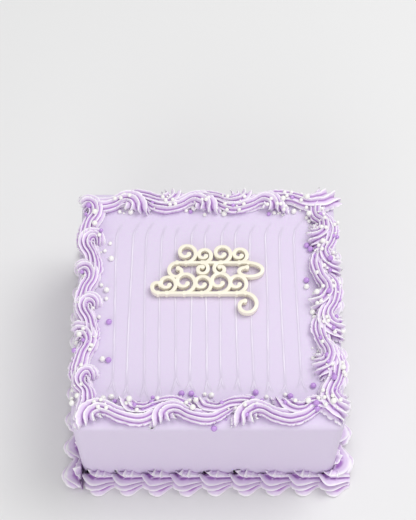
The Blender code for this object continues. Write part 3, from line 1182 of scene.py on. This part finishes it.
    def build(self, name: str) -> bpy.types.Object:
        """Build the stroke.

        Args:
            name: the object's name.

        Returns:
            The stroke, on the front side.
        """
        stations = self.stations()
        rings = []
        tones = []
        for j in range(self.sections):
            along = (j / (self.sections - 1)) ** self.crowding
            section = self.section(stations, (len(stations) - 1) * along)
            points = [self.point(section, i / (self.around - 1)) for i in range(self.around)]
            ring = [point for point, _ in points]
            foot = ring[-1].copy()
            foot.z = ring[0].z
            rings.append([*ring, foot])
            tones.append([*(tone for _, tone in points), 1.0])
        return lofted(name, rings, tones)


def finish_run(
        pieces: Sequence[bpy.types.Object], kind: str, side: Side, mirrored: bool,
        material: bpy.types.Material) -> bpy.types.Object:
    """Join the pieces of one run of piping, turn it to its side and hand it over.

    Args:
        pieces: the strokes or shells, on the front side.
        kind: top or foot.
        side: the side that it goes to.
        mirrored: whether the run goes the other way.
        material: the piped cream.

    Returns:
        The finished piece.
    """
    label = side.name.lower()
    whole = join(pieces, f"piping_{kind}_{label}")
    if mirrored:
        whole.data.transform(Matrix.Scale(-1, 4, Vector((1, 0, 0))))
    whole.data.transform(side.matrix)
    face_outwards(whole)
    smooth_shading(whole)
    hand_over(whole, material, [f"{kind}_border_{label}"])
    return whole


@dataclass
class TopBorder:
    """One side of the top border: six strokes, outward and inward heads in turn.

    The start, lines and nudges are in millimetres.
    """

    side: Side
    start: float
    outward_line: float
    inward_line: float
    breadth: float
    nudges: tuple[float, ...]
    curls: tuple[float, ...]
    sizes: tuple[float, ...]
    strokes: int = 6
    pitch: float = 18.3
    last_reach: float = 0.62
    inward_fins: float = 1.0
    ridges: int = 5
    tail_width: float = 1.1

    def build(self, material: bpy.types.Material) -> bpy.types.Object:
        """Build the run.

        Args:
            material: the piped cream.

        Returns:
            The finished piece.
        """
        pieces = []
        for index in range(self.strokes):
            inward = index % 2 == 1
            stroke = PipedStroke(
                start=(self.start + self.nudges[index] + index * self.pitch) * MM,
                inward=inward,
                curl=self.curls[index],
                tail_reach=self.last_reach if index == self.strokes - 1 else 1.0,
                scale=self.sizes[index],
                seed=100 * self.side.value + index,
                line=(self.inward_line if inward else self.outward_line) * MM,
                breadth=self.breadth,
                fin_share=self.inward_fins if inward else 1.0,
                ridges=self.ridges,
                tail_width=self.tail_width)
            pieces.append(stroke.build(f"stroke_{index}"))
        return finish_run(pieces, "top", self.side, False, material)


TOP_RUNS = (
    TopBorder(Side.FRONT, -55.7, 56.9, 51.2, 1.04,
              (0, 0.9, -2.4, -1.7, -1.2, -0.4), (1.15, 1.0, 1.1, 1.0, 1.05, 1.0),
              (1.22, 1.05, 1.06, 1.0, 1.13, 1.05), inward_fins=0.35, tail_width=1.12),
    TopBorder(Side.RIGHT, -53.5, 59.2, 54.4, 1.28,
              (1.2, 3.2, 3.9, 0.1, 1.3, -1.5), (0.75, 0.8, 0.9, 0.8, 0.9, 0.9),
              (1.06, 0.97, 1.03, 1.02, 0.98, 1.0), ridges=6, tail_width=1.2),
    TopBorder(Side.BACK, -54.5, 58.8, 54.8, 1.05,
              (-2.6, 2.2, 0.9, -0.2, -1.2, -2.5), (0.5, 1.0, 0.9, 0.95, 1.0, 1.0),
              (1.2, 1.06, 1.0, 1.08, 0.98, 1.07), last_reach=0.82),
    TopBorder(Side.LEFT, -54.5, 59.2, 56.2, 1.1,
              (-1.2, -0.6, -1.2, -2.4, -4.0, -1.7), (1.2, 1.7, 1.2, 1.6, 1.1, 1.6),
              (1.06, 0.94, 0.96, 0.98, 1.06, 0.94), inward_fins=0.5, ridges=6,
              tail_width=1.42),
)


# Foot border


@dataclass
class FootShell:
    """One shell on the front side: blades of cream that swell at the head and draw in behind.

    Places along it go from 0 at the head to 1, and places across it from 0 on top to 1 at the
    floor. Leads say how late each blade begins, swells how far it stands out, and grooves how
    deep the cream lies above, between and below the blades.
    """

    head: float
    scale: float
    seed: int
    wraps: bool
    pitch: float
    reach: float = 11 * MM
    rise: float = 0.98
    points: int = 80
    sections: int = 50
    crowding: float = 1.4
    crest_at: float = 0.72
    corner_radius: float = 5.5 * MM
    leads: tuple[float, ...] = (0.16, 0.0, 0.09, 0.28)
    lead_change: float = 0.03
    latest_lead: float = 0.9
    groove_lead: float = 0.14
    overlap: float = 1.2
    swells: tuple[float, ...] = (1.02, 1.17, 0.95, 1.0)
    grooves: tuple[float, ...] = (0.1, 0.28, 0.58, 0.24, 0.14)
    # How strongly shallow and deep grooves get painted shade
    painted_shade_tones: tuple[float, float] = (0.7, 1.7)
    nose: float = 0.1
    end: float = 0.07
    least_size: float = 0.5
    least_end: float = 0.15
    head_size: Fade = Fade(0, 0.3, 0.86, 1)
    tail_size: Fade = Fade(0.36, 0.96, 1, 0.55)
    upper_width: float = 0.55
    hook_length: float = 0.34
    hook_power: float = 2.2
    hook_turn: float = 0.55
    hook_width: float = 0.7
    hook_groove: float = 0.4
    tips: tuple[float, float] = (0.5, 1.0)
    tip_rise: float = 0.4
    spike_density: float = 24
    spike_power: float = 1.5
    spike_along: Fade = Fade(0.45, 0.75, 1, 0)
    spike_across: Fade = Fade(0.14, 0.34, 1, 0)
    fray_along: float = 6
    fray_across: float = 3
    fray: float = 0.18
    fray_depth: float = 0.3
    root_start: float = 0.1
    root: float = 0.5 * MM

    def __post_init__(self) -> None:
        """Draw what differs from one shell to the next."""
        rng = random.Random(self.seed)
        change = self.lead_change
        self.blade_leads = [lead + rng.uniform(-change, change) for lead in self.leads]
        self.blade_tips = [rng.uniform(*self.tips) for _ in self.leads]

    def wall(self, place: float) -> tuple[Vector, Vector]:
        """Return the wall's foot and its outward direction.

        Args:
            place: how far along the shell, in its own pitch.

        Returns:
            The point and the direction.
        """
        x = self.head + self.pitch * place
        flat = HALF - self.corner_radius
        before = -flat - x
        if not self.wraps or before <= 0:
            return Vector((x, -HALF, 0)), Vector((0, -1, 0))
        turn = min(before / self.corner_radius, math.pi / 2)
        outward = Vector((-math.sin(turn), -math.cos(turn), 0))
        return Vector((-flat, -flat, 0)) + outward * self.corner_radius, outward

    def point(self, t: float, v: float) -> tuple[Vector, float]:
        """Return one point of the shell.

        Args:
            t: the place along it.
            v: the place across it.

        Returns:
            The point, and its tone: painted highlight on crests and tips, painted shade in grooves
                and frayed pits.
        """
        across = v * len(self.leads)
        row = min(int(across), len(self.leads) - 1)
        tip = self.blade_tips[row]
        crest = blade(across, self.crest_at)
        groove = self.grooves[row + 1 if across - row > self.crest_at else row]
        upper = max(0.0, 1 - v / self.upper_width)
        hook = max(0.0, 1 - t / self.hook_length) ** self.hook_power
        standing = between(dome(t / self.nose), 1.0, upper * crest * tip)
        size = self.reach * self.scale * between(self.least_size, 1.0, standing)
        size *= self.head_size.at(t) * self.tail_size.at(t)
        size *= max(dome((1 - t) / self.end), self.least_end)
        bend = self.hook_turn * hook * math.sin(math.pi * min(v / self.hook_width, 1.0))
        angle = min(math.pi / 2 * (1 - v) + bend, math.pi / 2)
        lead = min(self.blade_leads[row] + self.groove_lead * (1 - crest), self.latest_lead)
        fray = self.fray * max(
            0.0, ragged(t * self.fray_along, row + v * self.fray_across, self.seed))
        spike = tip * max(0.0, math.sin(t * self.spike_density + self.seed)) ** self.spike_power
        spike *= self.spike_along.at(t) * self.spike_across.at(v)
        reach = between(1.0, self.swells[row], crest)
        reach += self.tip_rise * (upper * tip * hook * crest + spike)
        reach *= 1 - groove * (1 - crest) * (1 + self.hook_groove * hook)
        reach -= self.fray_depth * crest * fray
        foot, outward = self.wall(between(lead, self.overlap, t))
        point = foot + outward * (size * reach * math.cos(angle))
        point.z = self.rise * size * reach * math.sin(angle)
        # Painted shade in the grooves and frayed pits, taken off the pointed tips as painted
        # highlight
        tone = (1 - crest) * between(*self.painted_shade_tones, groove) * (1 - spike) + fray
        return point, min(1.0, tone)

    def build(self, name: str) -> bpy.types.Object:
        """Build the shell.

        Args:
            name: the object's name.

        Returns:
            The shell.
        """
        rings = []
        tones = []
        for j in range(self.sections):
            t = (j / (self.sections - 1)) ** self.crowding
            points = [self.point(t, i / (self.points - 1)) for i in range(self.points)]
            foot, outward = self.wall(between(self.root_start, 1.0, t))
            rings.append([*(point for point, _ in points), foot - outward * self.root])
            tones.append([*(tone for _, tone in points), 1.0])
        return lofted(name, rings, tones)


@dataclass
class FootBorder:
    """One side of the foot border: shells laid one after another against the wall."""

    side: Side
    start: float
    wraps: bool = False
    mirrored: bool = False
    shells: int = 9
    pitch: float = 14.6 * MM
    scales: tuple[float, float] = (0.95, 1.0)

    def build(self, material: bpy.types.Material) -> bpy.types.Object:
        """Build the run.

        Args:
            material: the piped cream.

        Returns:
            The finished piece.
        """
        rng = random.Random(f"foot {self.side.name.lower()}")
        pieces = []
        for index in range(self.shells):
            shell = FootShell(
                head=self.start + index * self.pitch,
                scale=rng.uniform(*self.scales),
                seed=50 * self.side.value + index,
                wraps=self.wraps,
                pitch=self.pitch)
            pieces.append(shell.build("shell"))
        return finish_run(pieces, "foot", self.side, self.mirrored, material)


FOOT_RUNS = (
    FootBorder(Side.FRONT, -63.1 * MM),
    FootBorder(Side.RIGHT, -63.8 * MM, wraps=True),
    FootBorder(Side.BACK, -63.8 * MM, wraps=True),
    FootBorder(Side.LEFT, -71 * MM, mirrored=True),
)


# Pearls


@dataclass(frozen=True)
class PearlCluster:
    """A few pearls that fell close together.

    Places and spreads are in millimetres: x along the front and back or across the sides, and y
    the other way, both from the middle of the cake. Each letter of kinds is one pearl: W, w or .
    for a large, medium or small white one, and P, p or , for a purple one.
    """

    x: float
    y: float
    spread_x: float
    spread_y: float
    kinds: str


PEARL_KINDS = {
    "W": (PearlSize.LARGE, "white"), "w": (PearlSize.MEDIUM, "white"),
    ".": (PearlSize.SMALL, "white"), "P": (PearlSize.LARGE, "purple"),
    "p": (PearlSize.MEDIUM, "purple"), ",": (PearlSize.SMALL, "purple")}


@dataclass
class Pearls:
    """All the sugar pearls, dropped onto the cake cluster by cluster."""

    clusters: tuple[PearlCluster, ...]
    sink: float = 0.6
    least_upward: float = 0.45
    lowest: float = BODY_HEIGHT - 2 * MM
    nearness: float = 0.98
    tries: int = 80
    segments: int = 18
    rows: int = 12

    def drop(self, x: float, y: float, radius: float, ground: BVHTree) -> Vector | None:
        """Let one pearl fall.

        Args:
            x: where it falls.
            y: the same, the other way.
            radius: its radius.
            ground: what it can lie on.

        Returns:
            Where its middle comes to rest, or None if it can't lie there.
        """
        hit, normal, _, _ = ground.ray_cast(Vector((x, y, 2 * BODY_HEIGHT)), Vector((0, 0, -1)))
        if hit is None or hit.z < self.lowest or normal.z < self.least_upward:
            return None
        spot = hit + normal * radius * self.sink
        return spot if spot.z + radius < CAD_BOX[1][2] else None

    def scatter(self, ground: BVHTree) -> dict[str, list[Spot]]:
        """Drop every cluster's pearls, clear of one another.

        Args:
            ground: what they can lie on.

        Returns:
            The middle and radius of each pearl, by colour.
        """
        rng = random.Random("pearls")
        spots: dict[str, list[Spot]] = {"white": [], "purple": []}
        placed: list[Spot] = []
        for cluster in self.clusters:
            for letter in cluster.kinds:
                size, colour = PEARL_KINDS[letter]
                for _ in range(self.tries):
                    x = (cluster.x + rng.uniform(-1, 1) * cluster.spread_x) * MM
                    y = (cluster.y + rng.uniform(-1, 1) * cluster.spread_y) * MM
                    spot = self.drop(x, y, size.value, ground)
                    if spot is not None and all(
                            (spot - other).length > self.nearness * (size.value + radius)
                            for other, radius in placed):
                        placed.append((spot, size.value))
                        spots[colour].append((spot, size.value))
                        break
        return spots

    def piece(self, name: str, spots: Sequence[Spot]) -> bpy.types.Object:
        """Build one ball and copy it to every spot.

        Args:
            name: the piece's name.
            spots: the middle and radius of each pearl.

        Returns:
            The joined pearls.
        """
        clear_selection()
        bpy.ops.mesh.primitive_uv_sphere_add(
            segments=self.segments, ring_count=self.rows, radius=1)
        first = take_new("pearl")
        balls = []
        for spot, radius in spots:
            ball = first.copy()
            ball.data = first.data.copy()
            bpy.context.collection.objects.link(ball)
            ball.data.transform(Matrix.Translation(spot) @ Matrix.Scale(radius, 4))
            balls.append(ball)
        bpy.data.objects.remove(first)
        whole = join(balls, name)
        smooth_shading(whole)
        return whole

    def build(self, ground: BVHTree, sugars: dict[str, bpy.types.Material]) -> None:
        """Scatter and build the pearls.

        Args:
            ground: the surfaces that they can lie on.
            sugars: the sugar of each colour.
        """
        for colour, spots in self.scatter(ground).items():
            hand_over(self.piece(f"{colour}_pearls", spots), sugars[colour])


CLUSTERS = tuple(PearlCluster(*row) for row in (
    # Along the front
    (-47, -52, 5, 5, "WWwwww.p"),
    (-36, -50, 2, 3, "WWw"),
    (-32, -55, 5, 3, "w,p,"),
    (-24, -51, 2, 3, "wPwp"),
    (-10, -50, 5, 5, "pWwWPPw.,"),
    (2, -50, 5, 5, "Wwwp,."),
    (13, -55, 6, 4, "wpw,."),
    (24, -50, 4, 6, "Ppww.,p"),
    (40, -49, 5, 4, "pPwpw"),
    (49, -52, 3, 4, "wWPP"),
    # Up the right side
    (56, -50, 4, 5, "Wwp,www.w."),
    (48, -41, 1.5, 2, "P"),
    (59, -36, 5, 5, "WwpP,.ww.w."),
    (54, -24, 5, 5, "wwPp,.ww.w."),
    (59, -12, 5, 5, "ppw,.www.w."),
    (49, -5, 1.5, 4, "Ww"),
    (57, 3, 6, 6, "Wwwpp.,Pww.w."),
    (48, 11, 1.5, 3, "WP"),
    (58, 16, 6, 6, "wpP,.www.w."),
    (56, 28, 6, 5, "WWwpPp.,ww.w."),
    (49, 31, 1.5, 2, "P"),
    (58, 40, 6, 5, "wwwpp,.ww.w."),
    (53, 47, 4, 4, "Wwwpww.w."),
    # Along the back, from the right
    (44, 56, 6, 5, "WWwwwww.pww.w."),
    (33, 53, 5, 4, "wwWw.pww.w."),
    (12, 54, 7, 4, "wwWp.www.w."),
    (-5, 54, 6, 4, "wWpw,ww.w."),
    (-22, 56, 6, 4, "wp.www.w."),
    (-42, 55, 6, 4, "Wwwwww.w."),
    # Down the left side
    (-59, 49, 4, 4, "PpWp"),
    (-52, 38, 4, 6, "wwWp"),
    (-47, 27, 1.5, 2, "W"),
    (-52, 29, 2, 2, "w."),
    (-57, 13, 6, 5, "wp.w"),
    (-49, 6, 1.5, 3, "Ww"),
    (-47, -8, 1.5, 2, "P"),
    (-56, -4, 6, 5, "w.,w"),
    (-61, -20, 4, 5, "WWPwwp"),
    (-53, -22, 3, 4, "ww."),
    (-48, -29, 2, 2, "WP"),
    (-58, -36, 5, 4, "w.w"),
    (-60, -47, 4, 4, "WWwww."),
    (0, -62, 3, 1, "P"),
))


# Scrollwork plate


@dataclass(frozen=True)
class Scroll:
    """A spiral pen line, in millimetres and degrees."""

    x: float
    y: float
    radius_start: float
    radius_end: float
    angle_start: float
    angle_end: float
    squash: float = 1.0


@dataclass
class ScrollPlate:
    """The flat plate of generic pen scrolls: the union of all pen lines, given its thickness.

    A row is a line of scrolls: where it starts and ends, its foot, and each scroll's radius.
    """

    thickness: float = 3.0 * MM
    bottom: float = BODY_HEIGHT + 0.65 * MM
    pen_width: float = 1.55 * MM
    pen_widths: tuple[float, float] = (0.85, 1.15)
    end_disc: float = 0.7
    end_corners: int = 24
    points_per_turn: int = 48
    points_per_row: int = 20
    scroll_turn: float = 420
    scroll_eye: float = 0.3
    tolerance: float = 1e-7
    flat_angle: float = 1
    edge_bevel: float = 0.12 * MM
    edge_faces: int = 2
    edge_angle: float = 60
    shading_angle: float = 40
    rows: tuple[tuple[float, float, float, tuple[float, ...]], ...] = (
        (-15.0, 19.5, 21.5, (5.5, 4.2, 5.2, 4.4)),
        (-24.0, 18.0, 5.0, (5.0, 6.0, 5.2, 6.2, 5.4)),
    )
    curls: tuple[Scroll, ...] = (
        Scroll(-3.0, 18.0, 3.5, 1.2, 90, -290),
        Scroll(6.0, 18.0, 3.5, 1.2, 90, 470),
        Scroll(-15.0, 16.9, 4.6, 1.6, 90, 430),
        Scroll(19.5, 17.1, 8.0, 3.4, 90, -260, 0.55),
        Scroll(18.0, -1.2, 6.2, 2.0, 90, -260),
        Scroll(-24.0, 8.6, 3.6, 1.4, -90, -330),
    )

    def line(self, scroll: Scroll) -> Ring:
        """Return the centre line of one scroll.

        Args:
            scroll: the scroll.

        Returns:
            Its points.
        """
        turn = scroll.angle_end - scroll.angle_start
        steps = round(abs(turn) / 360 * self.points_per_turn)
        points = []
        for i in range(steps + 1):
            t = i / steps
            angle = math.radians(scroll.angle_start + turn * t)
            radius = between(scroll.radius_start, scroll.radius_end, t)
            points.append(Vector((
                scroll.x + radius * math.cos(angle),
                scroll.y + scroll.squash * radius * math.sin(angle))) * MM)
        return points

    def lines(self) -> list[Ring]:
        """Lay out all pen lines.

        Returns:
            The centre line of each.
        """
        scrolls = list(self.curls)
        lines = []
        for x_start, x_end, y_foot, radii in self.rows:
            shares = (k / self.points_per_row for k in range(self.points_per_row + 1))
            lines.append([Vector((between(x_start, x_end, t), y_foot)) * MM for t in shares])
            pitch = (x_end - x_start) / len(radii)
            scrolls += [
                Scroll(x_start + pitch * (k + 0.5), y_foot + radius, radius,
                       radius * self.scroll_eye, -90, self.scroll_turn - 90)
                for k, radius in enumerate(radii)]
        return lines + [self.line(scroll) for scroll in scrolls]

    def outline(self, centres: Ring) -> list[Ring]:
        """Return the shapes that make up one pen line.

        Args:
            centres: its centre line.

        Returns:
            The ribbon's four-sided pieces and the discs at its ends.
        """
        left = []
        right = []
        for i, centre in enumerate(centres):
            along = centres[min(i + 1, len(centres) - 1)] - centres[max(i - 1, 0)]
            along.normalize()
            width = self.pen_width * between(*self.pen_widths, abs(along.y))
            across = Vector((-along.y, along.x)) * width / 2
            left.append(centre + across)
            right.append(centre - across)
        shapes = [[right[i], right[i + 1], left[i + 1], left[i]] for i in range(len(centres) - 1)]
        spokes = [math.tau * k / self.end_corners for k in range(self.end_corners)]
        for centre in (centres[0], centres[-1]):
            shapes.append([
                centre + Vector((math.cos(spoke), math.sin(spoke))) * self.pen_width * self.end_disc
                for spoke in spokes])
        return shapes

    def flat(self) -> bpy.types.Object:
        """Build the union of all pen lines as a flat object.

        Returns:
            The object.
        """
        corners: Ring = []
        shapes: list[list[int]] = []
        for line in self.lines():
            for shape in self.outline(line):
                shapes.append(list(range(len(corners), len(corners) + len(shape))))
                corners.extend(shape)
        points, _, faces, _, _, _ = delaunay_2d_cdt(corners, [], shapes, 0, self.tolerance)
        outlines = [[corners[i] for i in shape] for shape in shapes]
        low = [Vector((min(p.x for p in o), min(p.y for p in o))) for o in outlines]
        high = [Vector((max(p.x for p in o), max(p.y for p in o))) for o in outlines]
        bm = bmesh.new()
        vertices = [bm.verts.new((p.x, p.y, self.bottom)) for p in points]
        for face in faces:
            middle = sum((points[i] for i in face), Vector((0, 0))) / len(face)
            if any(low[k].x <= middle.x <= high[k].x and low[k].y <= middle.y <= high[k].y
                   and covers(outline, middle) for k, outline in enumerate(outlines)):
                bm.faces.new([vertices[i] for i in face])
        bmesh.ops.delete(bm, geom=[v for v in bm.verts if not v.link_faces], context="VERTS")
        mesh = bpy.data.meshes.new("scroll_plate_flat")
        bm.to_mesh(mesh)
        bm.free()
        piece = bpy.data.objects.new("scroll_sheet", mesh)
        bpy.context.collection.objects.link(piece)
        return piece

    def build(self, material: bpy.types.Material) -> None:
        """Build the plate.

        Args:
            material: the ivory sheet.
        """
        piece = self.flat()
        edit_all(piece)
        bpy.ops.mesh.dissolve_limited(angle_limit=math.radians(self.flat_angle))
        bpy.ops.mesh.select_all(action="SELECT")
        bpy.ops.mesh.extrude_region_move(
            TRANSFORM_OT_translate={"value": (0, 0, self.thickness)})
        face_outwards(piece)
        bevel = piece.modifiers.new("Bevel", "BEVEL")
        bevel.width = self.edge_bevel
        bevel.segments = self.edge_faces
        bevel.limit_method = "ANGLE"
        bevel.angle_limit = math.radians(self.edge_angle)
        bpy.ops.object.modifier_apply(modifier=bevel.name)
        smooth_shading(piece, self.shading_angle)
        hand_over(piece, material, ["scroll_plate"])


def covers(outline: Ring, point: Vector) -> bool:
    """Tell whether an outline covers a point.

    Args:
        outline: the corners of a convex shape, anticlockwise.
        point: the point.

    Returns:
        Whether the point lies in the shape or on its edge.
    """
    return all(
        (after - before).cross(point - before) >= 0
        for before, after in zip(outline, [*outline[1:], outline[0]]))


# Studio


@dataclass(frozen=True)
class SoftLight:
    """A large square light that faces the cake."""

    name: str
    place: tuple[float, float, float]
    size: float
    power: float
    colour: Colour = (1.0, 1.0, 1.0)

    def build(self) -> None:
        """Add the light."""
        data = bpy.data.lights.new(self.name, "AREA")
        data.shape = "SQUARE"
        data.size = self.size
        data.energy = self.power
        data.color = self.colour
        lamp = bpy.data.objects.new(self.name, data)
        lamp.location = self.place
        aim = Vector((0, 0, BODY_HEIGHT / 2)) - Vector(self.place)
        lamp.rotation_euler = aim.to_track_quat("-Z", "Y").to_euler()
        bpy.context.scene.collection.objects.link(lamp)


@dataclass
class Studio:
    """The plain floor, the lights and the camera."""

    elevation: float = math.radians(61.64)
    distance: float = 0.67956
    aim_y: float = 0.06087
    focal_pixels: float = 1235.2
    picture_height: int = 520
    sensor: float = 36.0
    near: float = 0.01
    lights: tuple[SoftLight, ...] = (
        SoftLight("key", (0.45, 0.25, 1.0), 0.6, 5.6),
        SoftLight("front_fill", (-0.25, -0.9, 0.55), 0.7, 2.8),
    )
    sky_colour: Colour = (1.0, 1.0, 1.0)
    sky: float = 0.62
    floor_size: float = 6.0
    floor_colour: Colour = (0.78, 0.78, 0.78)
    floor_roughness: float = 0.7

    def camera(self) -> None:
        """Add the camera at the photograph's viewing angle."""
        data = bpy.data.cameras.new("camera")
        data.sensor_fit = "VERTICAL"
        data.sensor_height = self.sensor
        data.lens = self.focal_pixels / self.picture_height * self.sensor
        data.clip_start = self.near
        camera = bpy.data.objects.new("camera", data)
        camera.location = (
            0, self.aim_y - self.distance * math.cos(self.elevation),
            self.distance * math.sin(self.elevation))
        camera.rotation_euler = (math.pi / 2 - self.elevation, 0, 0)
        bpy.context.scene.collection.objects.link(camera)
        bpy.context.scene.camera = camera

    def floor(self) -> None:
        """Add the pale floor."""
        clear_selection()
        bpy.ops.mesh.primitive_plane_add(size=self.floor_size)
        piece = take_new("floor")
        material, _, _ = start_material("pale_floor", {
            "Base Color": self.floor_colour, "Roughness": self.floor_roughness})
        piece.data.materials.append(material)

    def build(self) -> None:
        """Add everything around the cake."""
        self.floor()
        self.camera()
        for light in self.lights:
            light.build()
        world = bpy.data.worlds.new("studio")
        world.use_nodes = True
        board = NodeBoard(world.node_tree)
        board.fill(board.tree.nodes["Background"], {
            "Color": self.sky_colour, "Strength": self.sky})
        bpy.context.scene.world = world
        bpy.context.scene.view_settings.view_transform = "Standard"


def ground_of(pieces: Sequence[bpy.types.Object]) -> BVHTree:
    """Return one search tree over the meshes of several objects.

    Args:
        pieces: the objects.

    Returns:
        The tree.
    """
    bm = bmesh.new()
    for piece in pieces:
        bm.from_mesh(piece.data)
    tree = BVHTree.FromBMesh(bm)
    bm.free()
    return tree


def main() -> None:
    """Build the cake and the studio around it."""
    logging.basicConfig(level=logging.INFO, format="%(name)s: %(message)s")
    Studio().build()
    tone = CreamPaintedLight().group()
    piped = PIPED_CREAM.material(tone)
    surfaces = [CakeBlock().build(SMOOTH_CREAM.material(tone))]
    surfaces += [run.build(piped) for run in TOP_RUNS]
    for run in FOOT_RUNS:
        run.build(piped)
    Pearls(CLUSTERS).build(ground_of(surfaces), {
        "white": WHITE_SUGAR.material(), "purple": PURPLE_SUGAR.material()})
    ScrollPlate().build(IVORY_SHEET.material())


if __name__ == "__main__":
    main()
